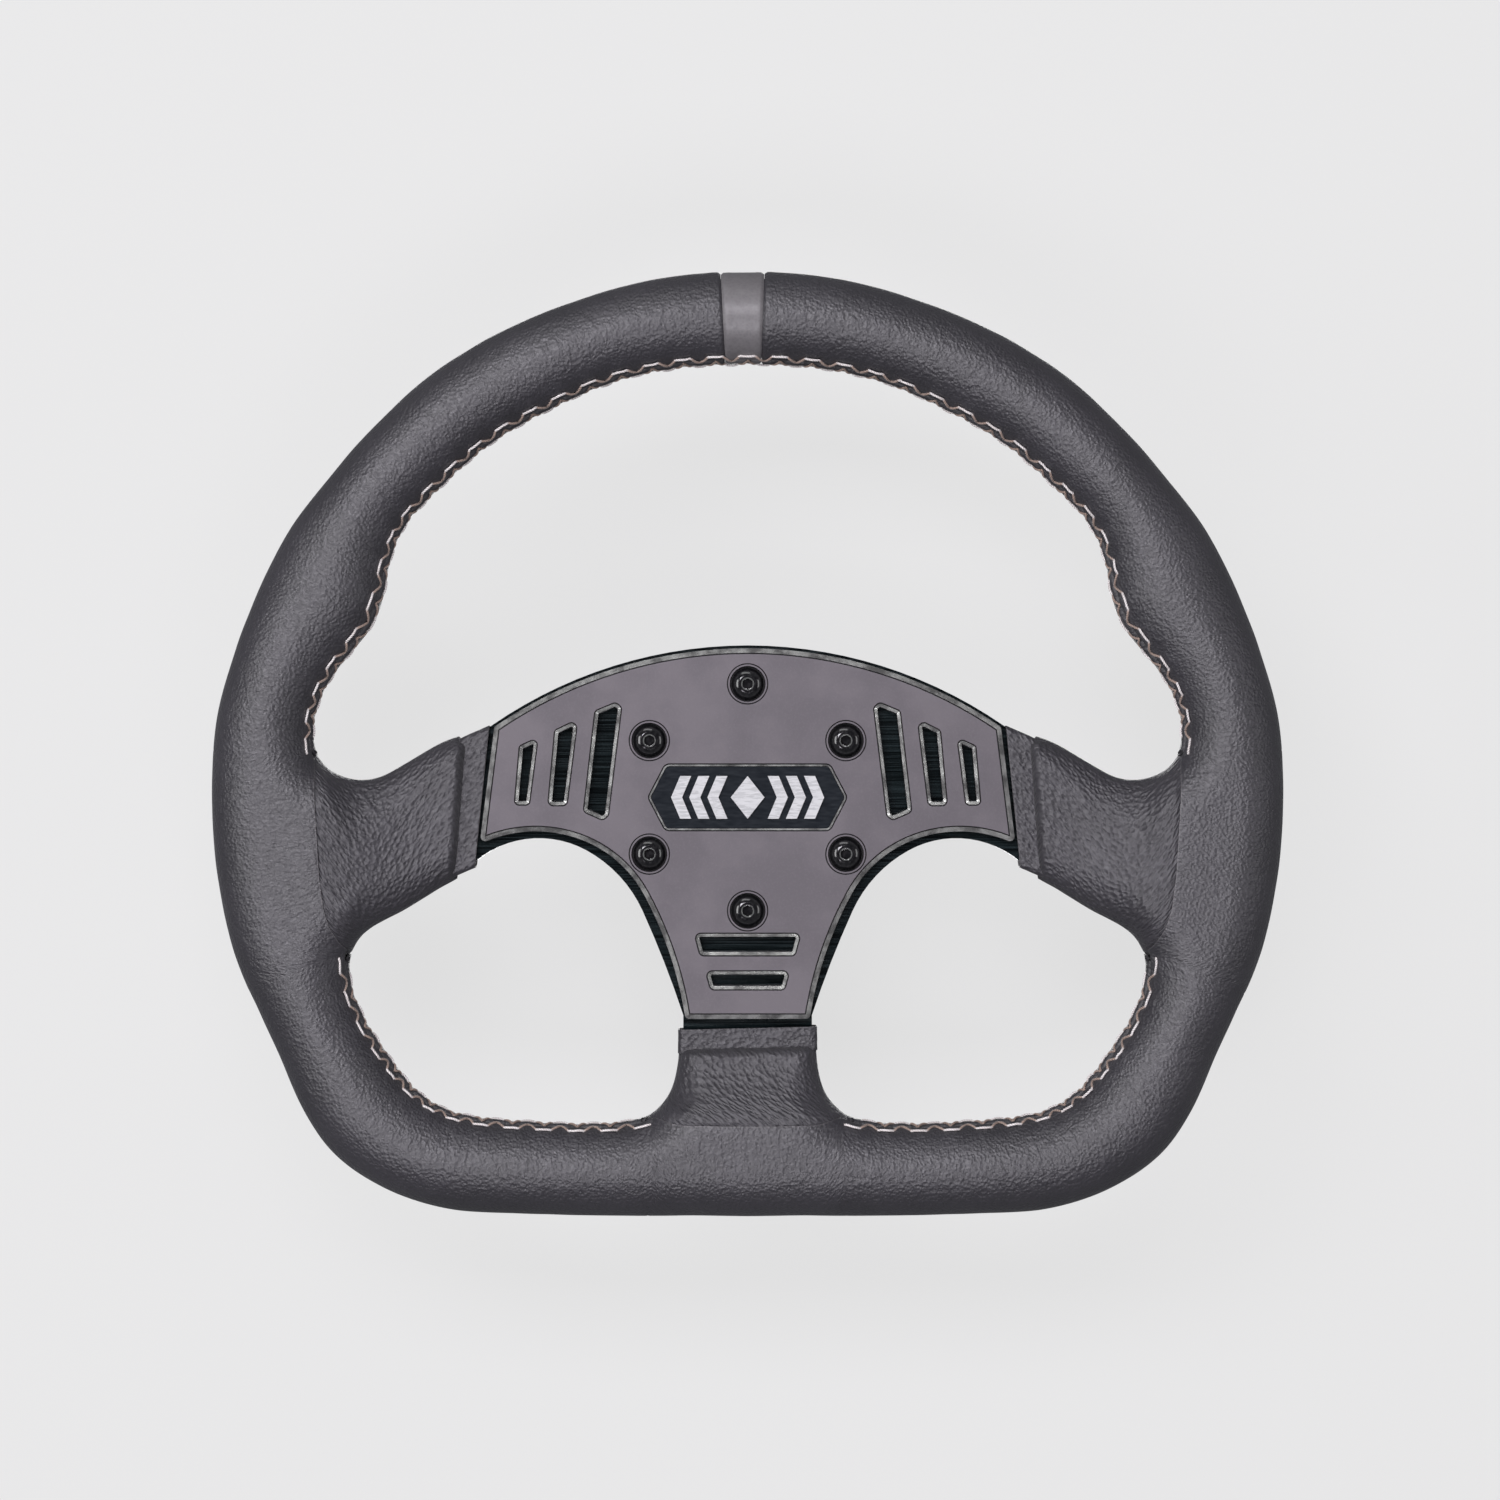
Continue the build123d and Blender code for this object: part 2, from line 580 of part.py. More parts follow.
stripe_side = rim_arcs[0][0] * sin(radians(6))
stripe_z = rim_top_z - rim_arcs[0][0] * (1 - cos(radians(6)))
with BuildPart() as centre_stripe:
    with BuildLine(face_plane(rim_u)) as stripe_path:
        ThreePointArc((-stripe_side, stripe_z), rim_top, (stripe_side, stripe_z))
    stripe_wire = stripe_path.wires()[0]
    with BuildSketch(Plane(origin=stripe_wire @ 0, x_dir=(0, 1, 0), z_dir=stripe_wire % 0)):
        Circle(grip_r)
        Circle(grip_r - leather_t, mode=Mode.SUBTRACT)
    sweep(path=stripe_wire)
    split(bisect_by=Plane(origin=(stripe_x[0], 0, 0), z_dir=(1, 0, 0)), keep=Keep.TOP)
    split(bisect_by=Plane(origin=(stripe_x[1], 0, 0), z_dir=(1, 0, 0)), keep=Keep.BOTTOM)
export(centre_stripe, "centre_stripe")

# ---------------------------------------------------------------- spoke sleeves
with BuildPart() as spoke_sleeve_right:
    add(side_pad_solid)
    add(side_pad_cut, mode=Mode.SUBTRACT)
    add(grip_solid.part, mode=Mode.SUBTRACT)
    add(core_plate.part, mode=Mode.SUBTRACT)
export(spoke_sleeve_right, "spoke_sleeve_right")
with BuildPart() as spoke_sleeve_left:
    mirror(spoke_sleeve_right.part, about=Plane.YZ)
export(spoke_sleeve_left, "spoke_sleeve_left")
with BuildPart() as spoke_sleeve_bottom:
    add(bottom_pad_solid)
    add(bottom_pad_cut, mode=Mode.SUBTRACT)
    add(grip_solid.part, mode=Mode.SUBTRACT)
    mirror(grip_solid.part, about=Plane.YZ, mode=Mode.SUBTRACT)
    add(core_plate.part, mode=Mode.SUBTRACT)
export(spoke_sleeve_bottom, "spoke_sleeve_bottom")

# leather end bands, folded tightly over the bare arms
with BuildPart() as end_band_right:
    with BuildSketch(face_plane(end_band_u[0])) as band_sketch:
        with BuildLine():
            Polyline((79.7, 22.4), (88.9, 18.6), (88.9, -24.8), (84.2, -21.8), close=True)
        make_face()
        fillet(band_sketch.vertices().sort_by(Axis.X)[:1], 0.6)
    extrude(amount=end_band_u[1] - end_band_u[0])
    add(core_plate.part, mode=Mode.SUBTRACT)
    add(faceplate.part, mode=Mode.SUBTRACT)
export(end_band_right, "end_band_right")
with BuildPart() as end_band_left:
    mirror(end_band_right.part, about=Plane.YZ)
export(end_band_left, "end_band_left")
with BuildPart() as end_band_bottom:
    with BuildSketch(face_plane(end_band_u[0])) as band_sketch:
        with Locations((0, (-71.4 - 77.0) / 2)):
            Rectangle(42.8, 77.0 - 71.4)
        fillet(band_sketch.vertices(), 0.6)
    extrude(amount=end_band_u[1] - end_band_u[0])
    add(core_plate.part, mode=Mode.SUBTRACT)
export(end_band_bottom, "end_band_bottom")

with BuildPart() as foam_half:
    with BuildSketch(rim_start):
        Circle(grip_r - leather_t - glue_gap)
        Circle(ring_rod_r + 0.05, mode=Mode.SUBTRACT)
    sweep(path=rim_wire)
with BuildPart() as ring_room:
    with BuildSketch(rim_start):
        Circle(ring_rod_r + 0.05)
    sweep(path=rim_wire)
    mirror(ring_room.part, about=Plane.YZ)
with BuildPart() as foam_moulding:
    add(foam_half.part)
    add(side_pad_foam)
    mirror(foam_moulding.part, about=Plane.YZ)
    add(bottom_pad_foam)
    add(ring_room.part, mode=Mode.SUBTRACT)
    add(core_plate.part, mode=Mode.SUBTRACT)
export(foam_moulding, "foam_moulding")


# ---------------------------------------------------------------- stitching thread along the inner edge of the ring
half_length = rim_wire.length


def stitches(first, last):
    """Planes for stitches along the inner edge between two fractions of the half ring's length."""
    planes = []
    count = int((last - first) * half_length / stitch_pitch)
    for i in range(count + 1):
        f = first + i * stitch_pitch / half_length
        t = rim_wire % f
        inward = Vector(0, 1, 0).cross(t)
        if inward.dot(Vector(0, 0, 0) - (rim_wire @ f)) < 0:
            inward = inward * -1
        planes.append(Plane(origin=(rim_wire @ f) + inward * (grip_r + 0.12) + Vector(0, -1.2, 0), x_dir=(0, 1, 0), z_dir=t))
    return planes


def flip(plane):
    o, z = plane.origin, plane.z_dir
    return Plane(origin=(-o.X, o.Y, o.Z), x_dir=(0, 1, 0), z_dir=(-z.X, z.Y, z.Z))


upper_right = stitches(0.02, 0.455)
lower_right = stitches(0.62, 0.925)
for name, planes in (
    ("stitching_upper", upper_right + [flip(p) for p in upper_right]),
    ("stitching_lower_right", lower_right),
    ("stitching_lower_left", [flip(p) for p in lower_right]),
):
    with BuildPart() as stitching:
        with Locations(*[p.location for p in planes]):
            Cylinder(thread_r, stitch_len)
    export(stitching, name)
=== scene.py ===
"""Looks of the quick release steering wheel, built round its CAD frame. Units are metres; leather is laid out in millimetres first."""
import math

import bpy
import numpy as np
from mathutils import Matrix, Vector

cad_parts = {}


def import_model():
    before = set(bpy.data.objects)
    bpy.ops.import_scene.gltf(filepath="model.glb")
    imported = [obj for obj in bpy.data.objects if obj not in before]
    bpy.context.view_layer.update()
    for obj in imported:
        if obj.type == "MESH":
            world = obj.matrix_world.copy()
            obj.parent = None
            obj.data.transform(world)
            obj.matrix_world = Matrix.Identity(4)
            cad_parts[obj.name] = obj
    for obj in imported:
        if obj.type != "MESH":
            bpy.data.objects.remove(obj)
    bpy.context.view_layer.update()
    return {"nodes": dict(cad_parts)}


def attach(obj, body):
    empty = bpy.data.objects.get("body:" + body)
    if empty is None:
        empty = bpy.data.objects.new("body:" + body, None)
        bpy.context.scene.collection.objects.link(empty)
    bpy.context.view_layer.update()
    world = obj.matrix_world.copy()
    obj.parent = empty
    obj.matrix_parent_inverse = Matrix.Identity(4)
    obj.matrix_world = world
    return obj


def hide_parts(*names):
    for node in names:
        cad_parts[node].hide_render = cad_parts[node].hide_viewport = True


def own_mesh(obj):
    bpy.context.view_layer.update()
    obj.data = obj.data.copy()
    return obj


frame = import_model()
nodes = frame["nodes"]
MM = 0.001
rng = np.random.default_rng(7)

# ------------------------------------------------------------------ shape of the leather, in mm (x, z across the wheel, u in front of the stub)
OUTER = [(0, 162.3), (20, 161.3), (40, 157.5), (60, 151), (70, 147), (80, 142), (90, 136), (100, 129), (110, 120), (120, 110), (130, 98), (140, 85), (147, 72.5),
         (152, 62), (157, 49.5), (160, 40), (163, 30), (164.6, 20), (165.3, 6), (165.2, -8), (164.2, -20), (162.6, -31), (158.5, -49), (150, -68), (143, -83), (140, -92), (130, -108), (120, -116.5),
         (110, -122), (100, -125.5), (90, -127.5), (80, -128.3), (60, -129), (30, -129.2), (0, -129.3)]
SECTIONS = [(0, 148, 14.2), (12.1, 147.5, 14.2), (27.2, 145.6, 14.2), (45, 141.1, 14.2), (67.1, 132.4, 14.2), (86.6, 120.9, 14.05), (100.2, 110, 13.98), (110.8, 99.6, 14.05),
            (117.5, 91, 14.7), (122.1, 83.3, 15.67), (126, 75.2, 16.81), (129.5, 66.8, 17.6), (133.7, 58.7, 17.6), (138.4, 50.8, 16.65), (143.4, 40.9, 15.39), (147.4, 28.8, 14.79),
            (148.7, 15.6, 14.8), (149.5, 0.7, 15), (149.7, -12.8, 15), (148.3, -25.9, 15), (145.3, -38.8, 15.13), (140.6, -51.2, 15.3), (135.9, -62.7, 15.16), (131.1, -74.5, 15.1),
            (126.4, -84.6, 15.48), (121.6, -92, 15.8), (115.6, -98.4, 15.95), (108.6, -103.8, 15.9), (100.8, -108, 15.74), (90.2, -111.2, 15.4), (76.4, -113.2, 14.98), (52.3, -114.2, 14.95),
            (27.5, -114.3, 15), (0, -114.3, 15)]
UPPER_WINDOW = [(0, 134.0), (20, 133), (40, 129), (60, 120.5), (80, 109), (100, 91), (106, 84), (110, 75), (112, 65), (113.6, 58), (118, 50), (125, 42), (131, 33), (134.3, 22), (133, 13),
                (129, 8), (120, 5.2), (113, 6.5), (102.2, 12.7), (94.1, 17.3), (89.2, 18.9), (84.0, 20.6), (76.0, 23.6)]
LOWER_WINDOW = [(76, -18.5), (84.0, -22.0), (90, -25.3), (95.2, -28.2), (106.5, -35), (116, -40), (121.4, -45.2), (123.2, -54.5), (119.2, -67), (111.2, -79.4), (102, -90.8), (93, -96.6),
                (83.7, -98.8), (66.6, -100.3), (49.5, -100.9), (34.7, -99.8), (27.9, -96.4), (23.6, -90.8), (21.8, -84), (21.2, -77.2), (21.2, -71.4), (21.2, -66)]
RIM_U, GRIP_H = 85.0, 14.6
SKIN = 1.15


def dense(points, step, sigma, closed=False, mirror_ends=False):
    """Points along a smooth curve through the given ones, step apart. Extra columns are carried along."""
    p = np.array(points, float)
    if mirror_ends:  # the curve meets x = 0 squarely at both ends
        flip = np.ones(p.shape[1])
        flip[0] = -1
        n0 = len(p)
        p = np.vstack([(p * flip)[1:][::-1], p, (p * flip)[:-1][::-1]])
    if closed:
        p = np.vstack([p, p[:1]])
    seg = np.hypot(*(np.diff(p[:, :2], axis=0).T))
    s = np.concatenate([[0], np.cumsum(seg)])
    if mirror_ends:
        lo, hi = s[n0 - 1], s[2 * n0 - 2]
        t = np.linspace(lo - 40, hi + 40, int((hi - lo + 80) / step) + 1)
    else:
        t = np.linspace(0, s[-1], int(s[-1] / step) + 1)
    if closed:
        t = t[:-1]
    # Catmull-Rom in each span
    k = np.clip(np.searchsorted(s, t, side="right") - 1, 0, len(s) - 2)
    idx = (lambda i: i % (len(p) - 1)) if closed else (lambda i: np.clip(i, 0, len(p) - 1))
    h = (s[k + 1] - s[k])
    f = ((t - s[k]) / h)[:, None]
    p0, p1, p2, p3 = p[idx(k - 1)], p[k], p[k + 1], p[idx(k + 2)]
    s_prev = np.where(k > 0, h + np.where(k > 0, s[k] - s[np.maximum(k - 1, 0)], h), h)
    s_next = np.where(k < len(s) - 2, h + np.where(k < len(s) - 2, s[np.minimum(k + 2, len(s) - 1)] - s[k + 1], h), h)
    if closed:
        s_prev = np.where(k > 0, s_prev, h + seg[-1])
        s_next = np.where(k < len(s) - 2, s_next, h + seg[0])
    m1 = (p2 - p0) / s_prev[:, None] * h[:, None]
    m2 = (p3 - p1) / s_next[:, None] * h[:, None]
    c = (2 * f**3 - 3 * f**2 + 1) * p1 + (f**3 - 2 * f**2 + f) * m1 + (-2 * f**3 + 3 * f**2) * p2 + (f**3 - f**2) * m2
    if sigma:
        r = int(3 * sigma / step)
        w = np.exp(-0.5 * (np.arange(-r, r + 1) * step / sigma) ** 2)
        w /= w.sum()
        if closed:
            ext = np.vstack([c[-r:], c, c[:r]])
        else:
            ext = np.vstack([2 * c[0] - c[1 : r + 1][::-1], c, 2 * c[-1] - c[-r - 1 : -1][::-1]])
        c = np.stack([np.convolve(ext[:, j], w, "valid") for j in range(c.shape[1])], 1)
    if mirror_ends:
        keep = (t >= lo - 1e-9) & (t <= hi + 1e-9)
        c = c[keep]
        c[0, 0] = c[-1, 0] = 0
    return c


outer_half = dense(OUTER, 1.2, 5.0, mirror_ends=True)
outer_line = np.vstack([outer_half, (outer_half * [-1, 1])[1:-1][::-1]])
centre = dense(SECTIONS, 1.0, 5.0, mirror_ends=True)  # x, z, half width
upper_half = dense(UPPER_WINDOW, 1.0, 2.2)
upper_line = np.vstack([(upper_half * [-1, 1])[1:][::-1], upper_half])
r_ = 12
w_ = np.exp(-0.5 * (np.arange(-r_, r_ + 1) / 4.0) ** 2)
w_ /= w_.sum()
mid_ = len(upper_half) - 1
sm_ = np.stack([np.convolve(upper_line[:, j], w_, "same") for j in (0, 1)], 1)
upper_line[mid_ - 40 : mid_ + 41] = sm_[mid_ - 40 : mid_ + 41]
lower_line = dense(LOWER_WINDOW, 1.0, 2.2)


def to_line(q, line, closed=False, value=None):
    """Distance from each point to the line, and a value carried along the line."""
    a = line[:, :2]
    b = np.roll(a, -1, 0) if closed else a[1:]
    a = a if closed else a[:-1]
    ab = b - a
    l2 = (ab**2).sum(1)
    out, val = np.empty(len(q)), np.empty(len(q))
    for i in range(0, len(q), 4000):
        p = q[i : i + 4000]
        d = p[:, None, :] - a[None]
        t = np.clip((d * ab).sum(2) / l2, 0, 1)
        e = d - t[..., None] * ab
        dd = (e**2).sum(2)
        j = dd.argmin(1)
        rows = np.arange(len(p))
        out[i : i + 4000] = np.sqrt(dd[rows, j])
        if value is not None:
            k = (j + 1) % len(value)
            tt = t[rows, j]
            val[i : i + 4000] = value[j] * (1 - tt) + value[k] * tt
    return out, val


def inside(q, poly):
    x, z = q[:, 0], q[:, 1]
    odd = np.zeros(len(q), bool)
    a, b = poly, np.roll(poly, -1, 0)
    for (x1, z1), (x2, z2) in zip(a, b):
        if z1 != z2:
            hit = (z1 > z) != (z2 > z)
            odd ^= hit & (x < (x2 - x1) * (z - z1) / (z2 - z1) + x1)
    return odd


GX0, GX1, GZ0, GZ1, GH = -4.0, 172.0, -137.0, 170.0, 0.8
gx, gz = np.arange(GX0, GX1, GH), np.arange(GZ0, GZ1, GH)
grid_q = np.stack(np.meshgrid(gx, gz), -1).reshape(-1, 2)
d_out, _ = to_line(grid_q, outer_line, closed=True)
d_out *= np.where(inside(grid_q, outer_line), 1, -1)
d_up, _ = to_line(grid_q, upper_line)
d_up *= np.where(inside(grid_q, np.vstack([upper_line, [(60, 10), (-60, 10)]])), -1, 1)
d_lo, _ = to_line(grid_q, lower_line)
d_lo *= np.where(inside(grid_q, np.vstack([lower_line, [(30, -30), (60, -12)]])), -1, 1)
_, a_loc = to_line(grid_q, centre, value=centre[:, 2])
shape2 = (len(gz), len(gx))
a_loc = a_loc.reshape(shape2)
for _ in range(6):  # even out the jumps where the nearest station changes
    a_pad = np.pad(a_loc, 1, mode="edge")
    a_loc = (a_pad[:-2, 1:-1] + a_pad[2:, 1:-1] + a_pad[1:-1, :-2] + a_pad[1:-1, 2:] + 4 * a_loc) / 8
fields = np.stack([d_out.reshape(shape2), d_up.reshape(shape2), d_lo.reshape(shape2), a_loc], -1)


def sample(x, z):
    """The four fields at points, by bicubic interpolation. The wheel is symmetric, so |x| is used."""
    fx = np.clip((np.abs(x) - GX0) / GH, 1.001, len(gx) - 3.001)
    fz = np.clip((z - GZ0) / GH, 1.001, len(gz) - 3.001)
    ix, iz = fx.astype(int), fz.astype(int)
    tx, tz = fx - ix, fz - iz

    def w(t):
        return (-0.5 * t + t**2 - 0.5 * t**3, 1 - 2.5 * t**2 + 1.5 * t**3, 0.5 * t + 2 * t**2 - 1.5 * t**3, -0.5 * t**2 + 0.5 * t**3)

    wx, wz = w(tx), w(tz)
    out = 0
    for j in range(4):
        row = 0
        for i in range(4):
            row = row + fields[iz + j - 1, ix + i - 1] * wx[i][..., None]
        out = out + row * wz[j][..., None]
    return out


def step01(t):
    t = np.clip(t, 0, 1)
    return t * t * t * (t * (6 * t - 15) + 10)


def soft_table(xs, ys, width):
    """A smooth curve through a short table."""
    t = np.linspace(-1, 2, 1201)
    v = np.interp(t, xs, ys)
    r = int(width / (t[1] - t[0]))
    w = np.hanning(2 * r + 3)[1:-1]
    w /= w.sum()
    v = np.convolve(np.pad(v, r, mode="edge"), w, "valid")
    return lambda q: np.interp(q, t, v)


# how wide the rounding of each padded edge is, against the distance from the rim's centreline (0) to the hem (1)
side_up = soft_table([0.30, 0.45, 0.62, 0.80, 1.0], [-1, 21.0, 17.0, 10.5, 5.5], 0.10)
side_low = soft_table([0.30, 0.45, 0.70, 1.0], [-1, 13.0, 10.0, 7.0], 0.10)
bottom_edge = soft_table([0.40, 0.55, 0.75, 1.0], [-1, 13.0, 8.0, 4.6], 0.12)
mix_side = soft_table([0.26, 0.46], [0, 1], 0.10)
mix_bottom = soft_table([0.36, 0.56], [0, 1], 0.12)
HEM_SIDE, HEM_BOTTOM, HEM_R = 61.0, 37.5, 3.0


def side_hem_x(z):
    """Where the padding of a side spoke stops."""
    return 86.8 + (15.9 - np.minimum(z, 15.9)) * 0.0745 + np.maximum(z - 15.9, 0) * 0.85


def bottom_hem_z(x):
    return -77.0 + 0.024 * x


def side_seam_x(z):
    t = np.array([-60, -48.5, -44.5, -40.0, -34.0, -23.9, 8.4, 14.0])
    v = np.array([113.0, 121.8, 125.2, 127.8, 129.6, 130.9, 132.9, 133.6])
    return np.interp(z, t, v)


def bottom_seam_z(x):
    return -100.1 + 1.9 * step01((np.abs(x) - 19) / 12.5) - 0.35 * np.exp(-((x - 4) / 14.0) ** 2)


def leather(x, z, u):
    """Above 0 inside the padded shape, and 0 on its skin."""
    f = sample(x, z)
    do, dup, dlo, a = f[..., 0], f[..., 1], f[..., 2], f[..., 3]
    ax = np.abs(x)
    e = do - a
    bottom = step01((-z - 50) / 16.0) * step01((62 - ax) / 16.0)
    rs, rb = e / HEM_SIDE, e / HEM_BOTTOM
    ms, mb = mix_side(rs), mix_bottom(rb)
    w_up = a + (side_up(rs) - a) * ms
    w_lo_s = a + (side_low(rs) - a) * ms
    w_lo_b = a + (bottom_edge(rb) - a) * mb
    w_lo = w_lo_s * (1 - bottom) + w_lo_b * bottom
    pad = ms * (1 - bottom) + mb * bottom

    def q(t):
        tc = np.clip(t, 0, 1)
        sharp = 1 - (1 - tc) ** (2 - 0.35 * pad)
        return np.where(t < 0, 2 * t, sharp)

    def q2(t):
        tc = np.clip(t, 0, 1)
        return np.where(t < 0, 2 * t, 1 - (1 - tc) ** 2)

    d_hem = np.where(bottom > 0.5, bottom_hem_z(x) - z, ax - side_hem_x(z))
    near_hem = np.where(bottom > 0.5, (np.abs(x) < 40) & (z > -100), (ax < 125) & (z > -40) & (z < 30))
    g = q2(do / a) * q(dup / w_up) * q(dlo / w_lo)
    g = np.where(near_hem, g * np.where(g > 0, np.maximum(q2(d_hem / HEM_R), -1), 1), g)
    drop = 8.9 * step01((e - 9) / (HEM_SIDE - 11)) * (1 - bottom) + 8.9 * step01((e - 8) / (HEM_BOTTOM - 8)) * bottom
    front = RIM_U + GRIP_H - drop
    back = RIM_U - GRIP_H + 0.36 * drop
    c, h = (front + back) / 2, (front - back) / 2
    return g - ((u - c) / h) ** 2


def cast(ox, oz, ou, dx, dz, du, reach):
    """Distance along each ray from inside the shape to its skin."""
    n = 14
    lo, hi = np.zeros_like(dx), np.full_like(dx, reach)
    found = np.zeros(dx.shape, bool)
    prev = np.zeros_like(dx)
    for i in range(1, n + 1):
        r = np.full_like(dx, reach * i / n)
        neg = (leather(ox + dx * r, oz + dz * r, ou + du * r) < 0) & ~found
        lo = np.where(neg, prev, lo)
        hi = np.where(neg, r, hi)
        found |= neg
        prev = r
    for _ in range(13):
        m = (lo + hi) / 2
        ins = leather(ox + dx * m, oz + dz * m, ou + du * m) > 0
        lo, hi = np.where(ins, m, lo), np.where(ins, hi, m)
    return (lo + hi) / 2


# ------------------------------------------------------------------ the rim, as stations along its centreline
seg = np.hypot(*np.diff(centre[:, :2], axis=0).T)
c_s = np.concatenate([[0], np.cumsum(seg)])
HALF = c_s[-1]


def station(s):
    x, z, a = (np.interp(s, c_s, centre[:, k]) for k in range(3))
    h = 0.6
    tx = np.interp(np.clip(s + h, 0, HALF), c_s, centre[:, 0]) - np.interp(np.clip(s - h, 0, HALF), c_s, centre[:, 0])
    tz = np.interp(np.clip(s + h, 0, HALF), c_s, centre[:, 1]) - np.interp(np.clip(s - h, 0, HALF), c_s, centre[:, 1])
    tz = np.where((s < h) | (s > HALF - h), 0.0, tz)
    n = np.hypot(tx, tz)
    tx, tz = tx / n, tz / n
    return x, z, a, tx, tz, -tz, tx  # centre, half width, tangent, outward normal (right half)


def skin(s, th):
    """Point on the skin at station s and angle th: 0 points outwards, 90 to the driver, 180 inwards. Right half of the wheel."""
    x, z, a, tx, tz, nx, nz = station(s)
    t = np.radians(th)
    c, sn = np.cos(t), np.sin(t)
    dx, dz, du = nx * c, nz * c, sn
    r = cast(x, z, np.full_like(x, RIM_U), dx, dz, du, 34.0)
    return np.stack([x + dx * r, z + dz * r, RIM_U + du * r], -1), np.stack([dx, dz, du], -1)


SEAM_TH = 163.0
PITCH = 10.6
ROW_W = 3.5  # from the seam to each row of stitch holes


def seam_side(p):
    """Above 0 on the rim's side of a spoke's leather seam."""
    ax, z = np.abs(p[..., 0]), p[..., 1]
    side = ax - side_seam_x(z)
    low = bottom_seam_z(p[..., 0]) - z
    is_side = (z < 12.5) & (z > -49.5)
    is_low = (ax < 32.0) & (z < -60)
    return np.where(is_side, side, np.where(is_low, low, 9.0))


ds = 0.92
all_s = np.arange(0, HALF + 1e-6, HALF / round(HALF / ds))


def edge_angles(sign):
    limit = SEAM_TH if sign > 0 else 360 - SEAM_TH
    th_try = np.linspace(80, limit, 70 if sign > 0 else 100)
    S, T = np.meshgrid(all_s, th_try, indexing="ij")
    p, _ = skin(S, T if sign > 0 else 360 - T)
    g = seam_side(p)
    out = np.full(len(all_s), limit)
    for i in range(len(all_s)):
        neg = np.nonzero(g[i] < 0)[0]
        if len(neg) and neg[0] > 0:
            j = neg[0]
            f = g[i, j - 1] / (g[i, j - 1] - g[i, j]) if g[i, j - 1] < 8.9 else 1.0
            out[i] = th_try[j - 1] + f * (th_try[j] - th_try[j - 1])
    return out


edge_front = edge_angles(1)
edge_back = edge_angles(-1)
stitched = edge_front > SEAM_TH - 0.6


def smooth_noise(x, y, seed, scale):
    """Value noise in about -1..1, smooth, the same each run."""
    r = np.random.default_rng(seed).uniform(-1, 1, (64, 64))
    fx, fy = x / scale, y / scale
    ix, iy = np.floor(fx).astype(int), np.floor(fy).astype(int)
    tx, ty = fx - ix, fy - iy
    tx, ty = tx * tx * (3 - 2 * tx), ty * ty * (3 - 2 * ty)
    g = lambda i, j: r[(iy + j) % 64, (ix + i) % 64]
    return (g(0, 0) * (1 - tx) + g(1, 0) * tx) * (1 - ty) + (g(0, 1) * (1 - tx) + g(1, 1) * tx) * ty


def grid_normals(p, flip=False):
    a = np.gradient(p, axis=0)
    b = np.gradient(p, axis=1)
    n = np.cross(a, b)
    n /= np.maximum(np.linalg.norm(n, axis=-1, keepdims=True), 1e-9)
    return -n if flip else n


def world(p):
    """(x, z, u) in mm to the row frame in metres."""
    return np.stack([p[..., 0], -p[..., 2], p[..., 1]], -1) * MM


def add_mesh(name, verts, faces, attrs=None, sharp=None):
    me = bpy.data.meshes.new(name)
    v = np.ascontiguousarray(verts, np.float32)
    me.vertices.add(len(v))
    me.vertices.foreach_set("co", v.ravel())
    sizes = np.array([len(f) for f in faces], np.int32) if not isinstance(faces, np.ndarray) else np.full(len(faces), faces.shape[1], np.int32)
    flat = np.concatenate([np.asarray(f, np.int32) for f in faces]) if not isinstance(faces, np.ndarray) else faces.astype(np.int32).ravel()
    me.loops.add(len(flat))
    me.loops.foreach_set("vertex_index", flat)
    me.polygons.add(len(sizes))
    me.polygons.foreach_set("loop_start", np.concatenate([[0], np.cumsum(sizes)[:-1]]).astype(np.int32))
    me.update(calc_edges=True)
    me.validate()
    me.polygons.foreach_set("use_smooth", np.ones(len(me.polygons), bool))
    for k, val in (attrs or {}).items():
        val = np.asarray(val, np.float32)
        if val.ndim == 2:
            at = me.attributes.new(k, "FLOAT_VECTOR", "POINT")
            at.data.foreach_set("vector", val.ravel())
        else:
            at = me.attributes.new(k, "FLOAT", "POINT")
            at.data.foreach_set("value", val)
    if sharp is not None:
        me.set_sharp_from_angle(angle=sharp)
    o = bpy.data.objects.new(name, me)
    bpy.context.scene.collection.objects.link(o)
    return o


def grid_faces(n, m, wrap=False, offset=0, flip=False):
    i, j = np.meshgrid(np.arange(n - 1), np.arange(m if wrap else m - 1), indexing="ij")
    j2 = (j + 1) % m
    f = np.stack([i * m + j, (i + 1) * m + j, (i + 1) * m + j2, i * m + j2], -1).reshape(-1, 4) + offset
    return f[:, ::-1] if flip else f


